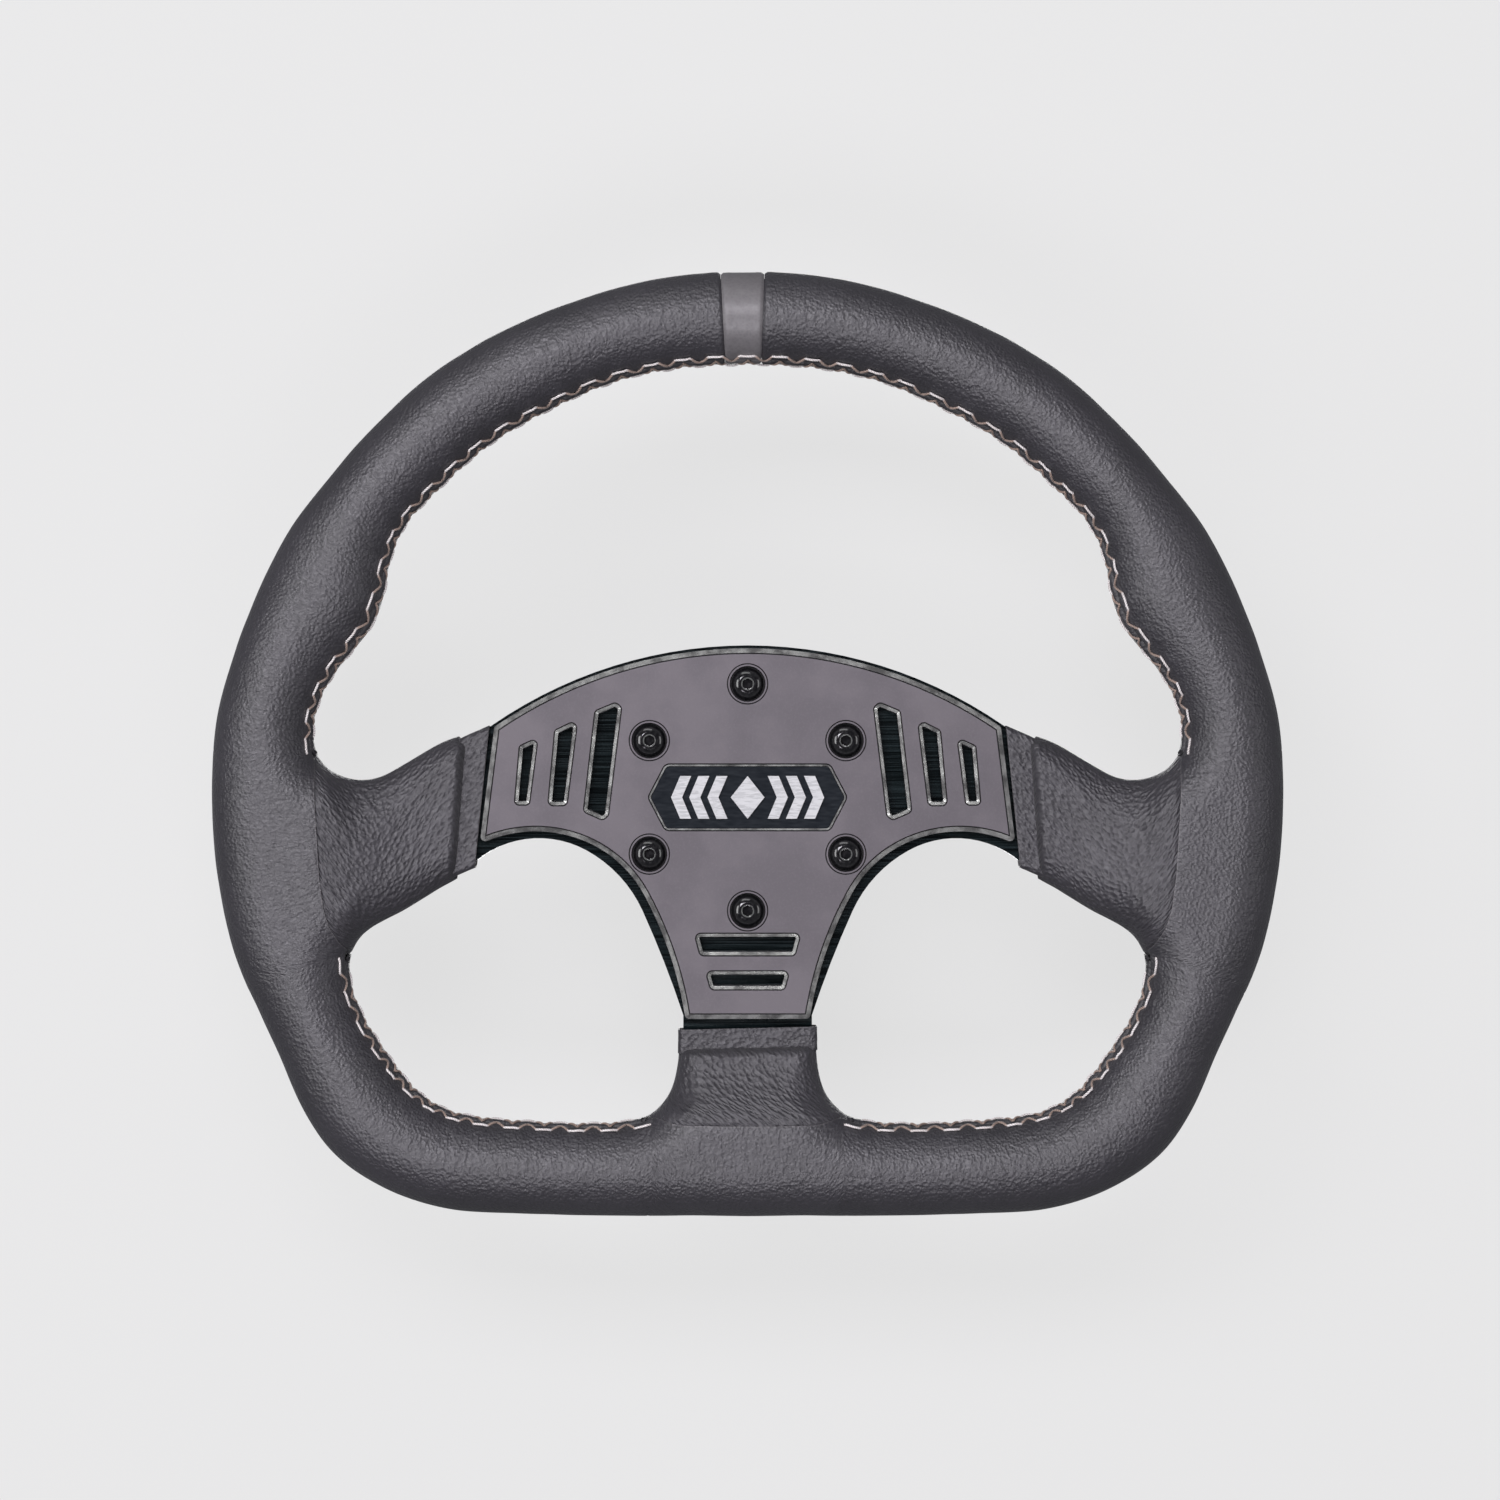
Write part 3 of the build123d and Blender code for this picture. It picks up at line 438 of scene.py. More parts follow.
def shell(name, p, nrm, thick, wrap=False, attrs=None, sharp=0.9, flip=False):
    """A closed skin of the given thickness from a grid of points and their outward normals."""
    n, m = p.shape[:2]
    t = thick if np.isscalar(thick) else thick[..., None]
    inner = p - nrm * t
    v = np.vstack([p.reshape(-1, 3), inner.reshape(-1, 3)])
    fo = grid_faces(n, m, wrap, 0, flip)
    fi = grid_faces(n, m, wrap, n * m, not flip)
    idx = np.arange(n * m).reshape(n, m)
    walls = []

    def wall(line):
        a, b = line[:-1], line[1:]
        walls.append(np.stack([b, a, a + n * m, b + n * m], -1) if not flip else np.stack([a, b, b + n * m, a + n * m], -1))

    first, last = idx[0], idx[-1]
    if wrap:
        first, last = np.append(first, first[0]), np.append(last, last[0])
    wall(last)
    wall(first[::-1])
    if not wrap:
        wall(idx[:, 0])
        wall(idx[::-1, -1])
    faces = np.vstack([fo, fi] + walls)
    full = {}
    for k, val in (attrs or {}).items():
        val = np.asarray(val, float)
        flat = val.reshape(-1, 3) if val.ndim == 3 else val.reshape(-1)
        full[k] = np.concatenate([flat, flat])
    return add_mesh(name, world(v), faces, full, sharp)


# stitch positions along each half: the upper window from the top to the spoke, the lower window from spoke to spoke
i_up = np.nonzero(~stitched)[0][0]
rest = np.nonzero(stitched & (all_s > all_s[i_up]))[0]
DASH = 2.25
s_up_end, s_lo_start, s_lo_end = all_s[i_up] - 1.2 - DASH, all_s[rest[0]] + 0.5 + DASH, all_s[rest[-1]] - 0.5 - DASH
n_up = int(round(s_up_end / PITCH))
up_pitch = s_up_end / n_up
up_mid = up_pitch * np.arange(0, n_up + 1)
n_lo = int(round((s_lo_end - s_lo_start) / PITCH))
lo_pitch = (s_lo_end - s_lo_start) / n_lo
lo_mid = s_lo_start + lo_pitch * np.arange(0, n_lo + 1)
mids = np.concatenate([up_mid, lo_mid])
jitter = {1: np.random.default_rng(11).normal(0, 0.22, len(mids)), -1: np.random.default_rng(12).normal(0, 0.22, len(mids))}

# distances from an edge to each row of the strip, mm
w_edge = np.array([0, 0.22, 0.5, 0.85, 1.25, 1.7, 2.2, 2.75, 3.3, 3.9, 4.7, 5.7, 6.9, 8.3, 9.9, 11.7])
mid_rows = np.linspace(11.7, 46, 20)[1:]
rows = np.concatenate([w_edge, mid_rows])
rows = np.concatenate([rows, 92 - rows[:-1][::-1]]) / 92.0


def strip(name, side, s_start):
    """Half of the rim's leather, side +1 right or -1 left, starting at s_start from the top centre."""
    near = s_start + np.array([0, 0.2, 0.45, 0.75, 1.1])
    ss = np.concatenate([near, all_s[all_s > s_start + 1.6]])
    ef, eb, st = (np.interp(ss, all_s, v) for v in (edge_front, edge_back, stitched.astype(float)))
    gap = np.degrees(0.12 / 14.6)
    ef = ef - gap
    lower = -eb + gap
    TH = ef[:, None] + (lower - ef)[:, None] * rows[None]
    S = np.repeat(ss[:, None], len(rows), 1)
    p, ray = skin(S, TH)
    nrm = grid_normals(p)
    if (nrm * ray).sum(-1).mean() < 0:
        nrm = -nrm
    # surface distances from both edges
    step = np.linalg.norm(np.diff(p, axis=1), axis=-1)
    wf = np.concatenate([np.zeros((len(ss), 1)), np.cumsum(step, 1)], 1)
    wb = wf[:, -1:] - wf
    sew = step01(st)[:, None]
    disp = np.zeros_like(wf)
    k = np.abs(S[..., None] - mids).argmin(-1)
    for w, row_side in ((wf, 1), (wb, -1)):
        shift = 0 if row_side == 1 else PITCH / 2
        ph = (S - mids[k] - jitter[row_side][k] * 0.5)
        local = np.where(row_side == 1, ph, (np.abs(ph) - PITCH / 2))
        dash = step01((DASH + 0.5 - np.abs(local)) / 0.9)
        disp += sew * (-0.95 * np.exp(-((w / 0.6) ** 2)))
        disp += sew * 0.30 * np.exp(-(((w - 1.6) / 0.95) ** 2)) * (0.75 + 0.25 * dash)
        disp -= sew * 0.26 * np.exp(-(((w - ROW_W) / 0.55) ** 2)) * dash
        for e_ in (-DASH, DASH):
            disp -= sew * 0.55 * np.exp(-(((local - e_) / 0.6) ** 2) - ((w - ROW_W + 0.1) / 0.7) ** 2)
        disp += sew * 0.16 * np.exp(-(((w - 4.9) / 1.5) ** 2)) * np.cos(2 * np.pi * local / PITCH)
        disp -= sew * 0.22 * np.exp(-((np.abs(local) - PITCH / 2) / 1.1) ** 2) * np.exp(-(((w - 1.9) / 1.3) ** 2))
        # pull wrinkles running out from the seam
        disp += sew * 0.05 * np.exp(-w / 7.0) * smooth_noise(S * 1.0, w * 0.25 + 31 * row_side, 21, 1.9) * step01((w - 2) / 3)
        # skived edge lying over the sleeve
        disp += (1 - sew) * (0.14 - 0.10 * np.exp(-((w / 0.35) ** 2))) * np.exp(-w / 5.0)
    disp += 0.16 * smooth_noise(S, TH * 0.25, 5, 17.0) + 0.06 * smooth_noise(S, TH * 0.25, 6, 7.0)
    edge_s = S - s_start
    disp -= 0.55 * np.exp(-((edge_s / 0.42) ** 2))
    disp += 0.10 * np.exp(-(((edge_s - 2.0) / 1.3) ** 2))
    p = p + nrm * disp[..., None]
    nrm2 = grid_normals(p)
    if (nrm2 * ray).sum(-1).mean() < 0:
        nrm2 = -nrm2
    seam_edge = (1 - sew) * (np.exp(-((wf / 0.2) ** 2)) + 0 * wb)
    wrap = np.stack([S * side, wf, np.full_like(S, 40.0 * side)], -1)
    # painted shade along the stitched seam, where the leather dips into it
    seam_shade = sew * np.exp(-((np.minimum(wf, wb) - 1.2) / 2.6) ** 2)
    if side < 0:
        p, nrm2 = p * [-1, 1, 1], nrm2 * [-1, 1, 1]
    return shell(name, p, nrm2, SKIN, attrs={"wrap": wrap, "raw": seam_edge, "crease_shade": seam_shade}, flip=side < 0)


def check_winding(o):
    """Turns a closed piece inside out if its faces look inwards."""
    me = o.data
    co = np.empty(len(me.vertices) * 3, np.float32)
    me.vertices.foreach_get("co", co)
    co = co.reshape(-1, 3).astype(float)
    me.calc_loop_triangles()
    tri = np.empty(len(me.loop_triangles) * 3, np.int32)
    me.loop_triangles.foreach_get("vertices", tri)
    t = co[tri.reshape(-1, 3)]
    if (t[:, 0] * np.cross(t[:, 1], t[:, 2])).sum() < 0:
        me.flip_normals()
    return o


made = {}
STRIPE = (-7.6, 4.7)
made["rim_leather_right"] = strip("rim_leather_right", 1, STRIPE[1] + 0.1)
made["rim_leather_left"] = strip("rim_leather_left", -1, -STRIPE[0] + 0.1)


def stripe_piece():
    xs = np.concatenate([[0, 0.2, 0.45, 0.8], np.linspace(1.2, 11.1, 14), [11.5, 11.85, 12.1, 12.3]]) + STRIPE[0]
    gap = np.degrees(0.12 / 14.6)
    TH = (SEAM_TH - gap) + ((-(360 - SEAM_TH) + 2 * gap) - (SEAM_TH - gap)) * rows
    S, T = np.meshgrid(np.abs(xs), TH, indexing="ij")
    p, ray = skin(S, T)
    sg = np.sign(xs)[:, None]
    p[..., 0] *= np.where(sg == 0, 1, sg)
    ray[..., 0] *= np.where(sg == 0, 1, sg)
    nrm = grid_normals(p)
    if (nrm * ray).sum(-1).mean() < 0:
        nrm = -nrm
    step = np.linalg.norm(np.diff(p, axis=1), axis=-1)
    wf = np.concatenate([np.zeros((len(xs), 1)), np.cumsum(step, 1)], 1)
    wb = wf[:, -1:] - wf
    e = np.minimum(xs - STRIPE[0], STRIPE[1] - xs)[:, None]
    disp = -0.10 - 0.5 * np.exp(-((e / 0.4) ** 2)) + 0.08 * np.exp(-(((e - 1.8) / 1.0) ** 2))
    local = np.minimum(np.abs(xs), np.abs(np.abs(xs) - PITCH))[:, None]
    for w in (wf, wb):
        disp = disp - 0.95 * np.exp(-((w / 0.6) ** 2)) + 0.25 * np.exp(-(((w - 1.6) / 0.95) ** 2))
        disp = disp - 0.4 * np.exp(-(((local - DASH) / 0.6) ** 2) - ((w - ROW_W + 0.1) / 0.7) ** 2)
    p = p + nrm * disp[..., None]
    nrm2 = grid_normals(p)
    if (nrm2 * ray).sum(-1).mean() < 0:
        nrm2 = -nrm2
    wrap = np.stack([np.repeat(xs[:, None], len(rows), 1), wf, np.full_like(wf, 90.0)], -1)
    # the third mask paints shade along the stripe's seams
    return shell("centre_stripe_band", p, nrm2, SKIN - 0.15, attrs={"wrap": wrap, "crease_shade": np.exp(-((np.minimum(wf, wb) - 1.2) / 2.2) ** 2), "raw": np.zeros_like(wf)})


made["centre_stripe_band"] = stripe_piece()


# ------------------------------------------------------------------ sleeves over the spoke padding
def sleeve_grid(kind, stations, around, sunk=0.0, u_mid=84.0):
    """Closed loops round a spoke. stations run from 0 at the seam to the hem, as distances from the hem in mm."""
    phi = np.linspace(0, 2 * np.pi, 421)[:-1]
    loops, rays = [], []
    for d in stations:
        if kind == "side":
            # loops lean with the seam at one end and with the hem at the other
            def x_of(z, d=d):
                h, s = side_hem_x(z), side_seam_x(np.clip(z, -60, 12))
                return h + (s + 1.2 - h) * d / 43.0

            zc = -3.0 - 15.5 * step01(d / 46.0)
            dz, du = np.cos(phi), np.sin(phi)
            oz, ou = np.full_like(phi, zc), np.full_like(phi, u_mid)
            lo, hi = np.zeros_like(phi), np.zeros_like(phi)
            found = np.zeros_like(phi, bool)
            prev = np.zeros_like(phi)
            for i in range(1, 27):
                r = np.full_like(phi, 39.0 * i / 26)
                z = oz + dz * r
                neg = (leather(x_of(z), z, ou + du * r) < 0) & ~found
                lo, hi = np.where(neg, prev, lo), np.where(neg, r, hi)
                found |= neg
                prev = r
            hi = np.where(found, hi, 39.0)
            for _ in range(14):
                m = (lo + hi) / 2
                z = oz + dz * m
                ins = leather(x_of(z), z, ou + du * m) > 0
                lo, hi = np.where(ins, m, lo), np.where(ins, hi, m)
            r = (lo + hi) / 2
            z = oz + dz * r
            p = np.stack([x_of(z), z, ou + du * r], -1)
        else:
            def z_of(x, d=d):
                h, s = bottom_hem_z(x), bottom_seam_z(x)
                return h + (s - 1.6 - h) * d / 22.0

            dx, du = np.cos(phi), np.sin(phi)
            lo, hi = np.zeros_like(phi), np.zeros_like(phi)
            found = np.zeros_like(phi, bool)
            prev = np.zeros_like(phi)
            for i in range(1, 27):
                r = np.full_like(phi, 37.0 * i / 26)
                x = dx * r
                neg = (leather(x, z_of(x), u_mid + du * r) < 0) & ~found
                lo, hi = np.where(neg, prev, lo), np.where(neg, r, hi)
                found |= neg
                prev = r
            hi = np.where(found, hi, 37.0)
            for _ in range(14):
                m = (lo + hi) / 2
                x = dx * m
                ins = leather(x, z_of(x), u_mid + du * m) > 0
                lo, hi = np.where(ins, m, lo), np.where(ins, hi, m)
            r = (lo + hi) / 2
            x = dx * r
            p = np.stack([x, z_of(x), u_mid + du * r], -1)
        q = np.vstack([p, p[:1]])
        s = np.concatenate([[0], np.cumsum(np.linalg.norm(np.diff(q, axis=0), axis=1))])
        t = np.linspace(0, s[-1], around + 1)[:-1]
        loops.append(np.stack([np.interp(t, s, q[:, k]) for k in range(3)], -1))
    return np.array(loops)


def loop_normals(p):
    a = np.gradient(p, axis=0)
    b = np.roll(p, -1, 1) - np.roll(p, 1, 1)
    n = np.cross(a, b)
    n /= np.maximum(np.linalg.norm(n, axis=-1, keepdims=True), 1e-9)
    c = p.mean(1, keepdims=True)
    return n if (n * (p - c)).sum(-1).mean() > 0 else -n


hem_d = np.array([0.03, 0.12, 0.28, 0.5, 0.8, 1.15, 1.55, 2.0, 2.5, 3.05, 3.7])


def sleeve(name, kind, side=1):
    run = 43.0 if kind == "side" else 22.0
    st = np.concatenate([hem_d, np.arange(4.5, run - 1.0, 0.85), [run - 0.35, run]])
    p = sleeve_grid(kind, st, 168 if kind == "side" else 150, u_mid=82.5 if kind == "side" else 82.5)
    n = loop_normals(p)
    arc = np.concatenate([np.zeros((len(st), 1)), np.cumsum(np.linalg.norm(np.diff(p, axis=1), axis=-1), 1)], 1)
    D = np.repeat(st[:, None], p.shape[1], 1)
    disp = 0.10 * smooth_noise(p[..., 0] + 3, p[..., 1] * 1.0, 8, 9.0) + 0.05 * smooth_noise(p[..., 0], p[..., 1], 9, 4.0)
    disp *= step01(D / 4)
    disp -= 0.12 * step01((D - (run - 5)) / 3.0) + 0.7 * step01((D - (run - 2.4)) / 2.0)
    # stretch lines that fan from the rim into the spoke
    if kind == "side":
        disp += 0.05 * step01((D - 12) / 12) * smooth_noise(p[..., 0] * 0.35 + p[..., 1] * 0.1, p[..., 1] * 1.0, 15, 2.1)
    p = p + n * disp[..., None]
    n = loop_normals(p)
    wrap = np.stack([D * side, arc, np.full_like(D, 150.0 + 30 * side + (60 if kind == "bottom" else 0))], -1)
    if side < 0:
        p, n = p * [-1, 1, 1], n * [-1, 1, 1]
    # the third mask paints shade along the step down to the hem
    return shell(name, p, n, SKIN, wrap=True, attrs={"wrap": wrap, "raw": np.zeros_like(D), "crease_shade": np.exp(-((D / 1.6) ** 2))})


made["spoke_sleeve_leather_right"] = sleeve("spoke_sleeve_leather_right", "side", 1)
made["spoke_sleeve_leather_left"] = sleeve("spoke_sleeve_leather_left", "side", -1)
made["spoke_sleeve_leather_bottom"] = sleeve("spoke_sleeve_leather_bottom", "bottom")


# ------------------------------------------------------------------ flat end bands folded round the arms
def rounded_rect(w, h, r, n_side, n_corner):
    """Points round a rectangle centred at 0, anticlockwise, with the arc length between corners kept even."""
    pts = []
    for cx, cy, a0 in ((w - r, h - r, 0), (-(w - r), h - r, 90), (-(w - r), -(h - r), 180), (w - r, -(h - r), 270)):
        for k in range(n_corner + 1):
            a = math.radians(a0 + 90 * k / n_corner)
            pts.append((cx + r * math.cos(a), cy + r * math.sin(a)))
        nxt = {0: (-(w - r), h), 90: (-w, -(h - r)), 180: (w - r, -h), 270: (w, h - r)}[a0]
        here = pts[-1]
        cnt = n_side[0] if a0 in (0, 180) else n_side[1]
        for k in range(1, cnt):
            f = k / cnt
            pts.append((here[0] + (nxt[0] - here[0]) * f, here[1] + (nxt[1] - here[1]) * f))
    return np.array(pts)


def band(name, kind, side=1):
    t = np.concatenate([[0.0, 0.03, 0.08, 0.15, 0.25, 0.4], np.linspace(0.7, 8.9, 13)])  # from the free edge under the padding
    roll = np.where(t < 0.4, 0.42 - np.sqrt(np.maximum(0.42**2 - (0.42 - np.minimum(t * 1.05, 0.42)) ** 2, 0)), 0)
    loops, wraps = [], []
    for k, d in enumerate(t):
        if kind == "side":
            f = d / 8.9
            top, bot = 22.3 - 4.2 * f, -21.8 - 3.3 * min(1, f * 1.25)
            half, mid = (top - bot) / 2 - roll[k], (top + bot) / 2
            sec = rounded_rect(half, 5.5 - roll[k], 1.9, (46, 8), 5)
            z = mid + sec[:, 0]
            edge_x = 79.7 + (22.4 - z) * (4.5 / 44.2)
            x = edge_x + d
            u = 81.0 + sec[:, 1]
            loops.append(np.stack([x, z, u], -1))
        else:
            half = 21.5 - roll[k]
            sec = rounded_rect(half, 5.5 - roll[k], 1.9, (46, 8), 5)
            x = sec[:, 0]
            z = -71.3 + 0.024 * x - d * 0.82
            loops.append(np.stack([x, z, 81.0 + sec[:, 1]], -1))
    p = np.array(loops)
    n = loop_normals(p)
    D = np.repeat(t[:, None], p.shape[1], 1)
    along = p[..., 1] if kind == "side" else p[..., 0]
    disp = 0.07 * smooth_noise(along, D + 2, 31, 5.0) + 0.04 * smooth_noise(along, D, 32, 2.2)
    if kind == "side":  # the corner is folded under, low down
        low = p[..., 1] - (-21.8 - 3.3 * np.minimum(1, D / 8.9 * 1.25))
        disp -= 0.32 * np.exp(-(((low - 3.0) / 0.45) ** 2)) - 0.12 * np.exp(-(((low - 2.0) / 0.6) ** 2))
    disp *= step01(D / 0.5)
    p = p + n * disp[..., None]
    arc = np.concatenate([np.zeros((len(t), 1)), np.cumsum(np.linalg.norm(np.diff(p, axis=1), axis=-1), 1)], 1)
    wrap = np.stack([D * side, arc, np.full_like(D, 300.0 + 30 * side + (60 if kind == "bottom" else 0))], -1)
    n = loop_normals(p)
    if side < 0:
        p, n = p * [-1, 1, 1], n * [-1, 1, 1]
    # the third mask paints shade where the band goes under the sleeve's hem
    return shell(name, p, n, 1.0, wrap=True, attrs={"wrap": wrap, "raw": np.exp(-((D / 0.2) ** 2)), "crease_shade": np.exp(-(((D - 8.4) / 1.0) ** 2))})


made["end_band_leather_right"] = band("end_band_leather_right", "side", 1)
made["end_band_leather_left"] = band("end_band_leather_left", "side", -1)
made["end_band_leather_bottom"] = band("end_band_leather_bottom", "bottom")


# ------------------------------------------------------------------ foam inside, only its shape matters
def foam_piece():
    verts, faces, off = [], [], 0
    ss = np.linspace(0, HALF, 170)
    th = np.linspace(0, 360, 33)[:-1]
    S, T = np.meshgrid(ss, th, indexing="ij")
    x, z, a, tx, tz, nx, nz = station(S)
    t = np.radians(T)
    r = np.minimum(np.linalg.norm(skin(S, T)[0] - np.stack([x, z, np.full_like(x, RIM_U)], -1), axis=-1), 15.5) - 2.0
    p = np.stack([x + nx * np.cos(t) * r, z + nz * np.cos(t) * r, RIM_U + np.sin(t) * r], -1)
    ring = np.vstack([p, (p * [-1, 1, 1])[1:-1][::-1]])
    n, m = ring.shape[:2]
    i, j = np.meshgrid(np.arange(n), np.arange(m), indexing="ij")
    f = np.stack([i * m + j, ((i + 1) % n) * m + j, ((i + 1) % n) * m + (j + 1) % m, i * m + (j + 1) % m], -1).reshape(-1, 4)
    verts.append(ring.reshape(-1, 3))
    faces += [list(q) for q in f]
    off = n * m
    for kind, sides in (("side", (1, -1)), ("bottom", (1,))):
        run = 43.0 if kind == "side" else 22.0
        st = np.concatenate([[1.2, 1.7, 2.4, 3.2], np.linspace(4.5, run - 1, 14)])
        g = sleeve_grid(kind, st, 48, u_mid=82.5)
        g = g - loop_normals(g) * 1.9
        for sd in sides:
            q = g * [sd, 1, 1]
            k, m = q.shape[:2]
            verts.append(q.reshape(-1, 3))
            ff = grid_faces(k, m, True, off, sd < 0)
            faces += [list(v) for v in ff]
            faces.append([off + v for v in range(m)][:: 1 if sd > 0 else -1])
            faces.append([off + (k - 1) * m + v for v in range(m)][:: -1 if sd > 0 else 1])
            off += k * m
    return add_mesh("foam_core", world(np.vstack(verts)), faces, sharp=0.9)


made["foam_core"] = foam_piece()


# ------------------------------------------------------------------ stitching: two-ply thread, one run in each window
def thread(name, runs, radius=0.40):
    """runs: lists of path points (n, 3) in mm, with how much of each point lies on top of the leather, which the
    material uses to paint shade where the thread dips into the seam.
    """
    verts, faces, twist_at, top_lit_at, off = [], [], [], [], 0
    sides = 8
    for pts, top_lit in runs:
        seg = np.linalg.norm(np.diff(pts, axis=0), axis=1)
        keep = np.concatenate([[True], seg > 1e-4])
        pts, top_lit = pts[keep], top_lit[keep]
        s = np.concatenate([[0], np.cumsum(np.linalg.norm(np.diff(pts, axis=0), axis=1))])
        t = np.linspace(0, s[-1], max(6, int(s[-1] / 0.30)))
        c = np.stack([np.interp(t, s, pts[:, k]) for k in range(3)], -1)
        for _ in range(2):
            c[1:-1] = (c[:-2] + 2 * c[1:-1] + c[2:]) / 4
        tan = np.gradient(c, axis=0)
        tan /= np.linalg.norm(tan, axis=1, keepdims=True)
        n = np.cross(tan, [0.3, 0.2, 1.0])
        n /= np.linalg.norm(n, axis=1, keepdims=True)
        b = np.cross(tan, n)
        ang = np.linspace(0, 2 * np.pi, sides + 1)[:-1]
        twist = t / 1.5 * 2 * np.pi
        rr = radius * (0.72 + 0.36 * np.cos(ang[None] - twist[:, None]) ** 2)
        ring = c[:, None] + rr[..., None] * (np.cos(ang)[None, :, None] * n[:, None] + np.sin(ang)[None, :, None] * b[:, None])
        verts.append(ring.reshape(-1, 3))
        # 1 on a ply's crest, 0 in the groove between plies; the material paints shade in the grooves
        twist_at.append((np.cos(ang[None] - twist[:, None]) ** 2).ravel())
        top_lit_at.append(np.repeat(np.interp(t, s, top_lit), sides))
        f = grid_faces(len(c), sides, True, off)
        faces += [list(q) for q in f]
        faces.append([off + k for k in range(sides)][::-1])
        faces.append([off + (len(c) - 1) * sides + k for k in range(sides)])
        off += len(c) * sides
    return add_mesh(name, world(np.vstack(verts)), faces, {"ply": np.concatenate(twist_at), "top_lit": np.concatenate(top_lit_at)})


def on_seam(s, w, h, side, sgn):
    """Point at distance w from the seam (to the front if sgn is 1) and h above the skin."""
    s = np.asarray(s, float)
    sa = np.abs(s)
    a = station(sa)[2]
    th = SEAM_TH - sgn * np.degrees(np.asarray(w) / a)
    p, ray = skin(sa, th)
    p = p + ray * np.asarray(h)[..., None]
    # s below 0 runs over the top to the other half
    sign = np.where(s < 0, -side, side)
    p[..., 0] = p[..., 0] * sign
    return p


def stitch_runs(side, s_mid, pitch, ends=True):
    runs = []
    r2 = np.random.default_rng(int(100 + abs(s_mid[0]) * 3 + (50 if side < 0 else 0)))
    gapw = pitch - 2 * DASH
    for row in (1, -1):
        pts = []
        shift = 0 if row == 1 else pitch / 2
        for k, m in enumerate(s_mid[: len(s_mid) if row == 1 else -1]):
            c = m + shift
            j = r2.normal(0, 0.12, 12)
            hj = 1 + r2.normal(0, 0.15)
            pts += [
                (c - DASH - 0.05, ROW_W - 0.25, -0.25),
                (c - DASH + 0.35, ROW_W + 0.05, 0.16),
                (c - DASH * 0.45, ROW_W + 0.25 + j[0], 0.34 * hj),
                (c + DASH * 0.35, ROW_W + 0.22 + j[1], 0.36 * hj),
                (c + DASH - 0.35, ROW_W + 0.05, 0.18),
                (c + DASH + 0.05, ROW_W - 0.25, -0.2),
            ]
            if k < len(s_mid) - 1 - (row == -1):
                g0 = c + DASH
                pts += [
                    (g0 + gapw * 0.12, ROW_W - 0.65 + j[2], 0.12),
                    (g0 + gapw * 0.30, ROW_W - 1.75 + j[3], 0.30),
                    (g0 + gapw * 0.46, 0.45, 0.05),
                    (g0 + gapw * 0.52, -0.25, -0.25),
                    (g0 + gapw * 0.60, 0.55, 0.02),
                    (g0 + gapw * 0.76, ROW_W - 1.55 + j[4], 0.26),
                    (g0 + gapw * 0.90, ROW_W - 0.6 + j[5], 0.10),
                ]
        a = np.array(pts)
        # dense in s, w and h first, so that the thread bows over the leather
        i = np.arange(len(a))
        d = np.linspace(0, len(a) - 1, (len(a) - 1) * 4 + 1)
        k0 = np.clip(np.floor(d).astype(int), 0, len(a) - 2)
        f = (d - k0)[:, None]
        p0, p1, p2, p3 = a[np.maximum(k0 - 1, 0)], a[k0], a[k0 + 1], a[np.minimum(k0 + 2, len(a) - 1)]
        c = 0.5 * (2 * p1 + (p2 - p0) * f + (2 * p0 - 5 * p1 + 4 * p2 - p3) * f**2 + (3 * p1 - p0 - 3 * p2 + p3) * f**3)
        # the second value is 1 where the thread lies on top and 0 where it dips into the seam, for painted shade
        runs.append((on_seam(c[:, 0], c[:, 1], c[:, 2], side, row), step01((c[:, 1] - ROW_W + 0.55) / 0.45)))
    return runs


upper_all = np.concatenate([-up_mid[1:][::-1], up_mid])
made["stitch_thread_upper"] = thread("stitch_thread_upper", stitch_runs(1, upper_all, up_pitch))
made["stitch_thread_lower_right"] = thread("stitch_thread_lower_right", stitch_runs(1, lo_mid, lo_pitch))
made["stitch_thread_lower_left"] = thread("stitch_thread_lower_left", stitch_runs(-1, lo_mid, lo_pitch))


# ------------------------------------------------------------------ collar spring, with closed end coils
def spring_piece():
    y0, y1, r_w, r_m = 55.0, 70.0, 0.8, 21.0
    n = 520
    t = np.linspace(0, 1, n)
    turns = 4.6
    lift = np.clip((t - 0.14) / 0.72, 0, 1)
    lift = lift * lift * (3 - 2 * lift) * 0.25 + lift * 0.75
    u = y0 + r_w + 0.05 + 0.55 * np.clip(t / 0.14, 0, 1) + (y1 - y0 - 2 * r_w - 0.1 - 1.1) * lift + 0.55 * np.clip((t - 0.86) / 0.14, 0, 1)
    a = 2 * np.pi * turns * t
    c = np.stack([r_m * np.cos(a), r_m * np.sin(a), u], -1)
    tan = np.gradient(c, axis=0)
    tan /= np.linalg.norm(tan, axis=1, keepdims=True)
    rad = np.stack([np.cos(a), np.sin(a), 0 * a], -1)
    rad -= (rad * tan).sum(1, keepdims=True) * tan
    rad /= np.linalg.norm(rad, axis=1, keepdims=True)
    b = np.cross(tan, rad)
    ang = np.linspace(0, 2 * np.pi, 13)[:-1]
    ring = c[:, None] + r_w * (np.cos(ang)[None, :, None] * rad[:, None] + np.sin(ang)[None, :, None] * b[:, None])
    faces = [list(q) for q in grid_faces(n, 12, True)]
    faces.append(list(range(12))[::-1])
    faces.append([(n - 1) * 12 + k for k in range(12)])
    return add_mesh("collar_spring_wire", world(ring.reshape(-1, 3)), faces, sharp=0.9)


made["collar_spring_wire"] = spring_piece()
for o in made.values():
    check_winding(o)


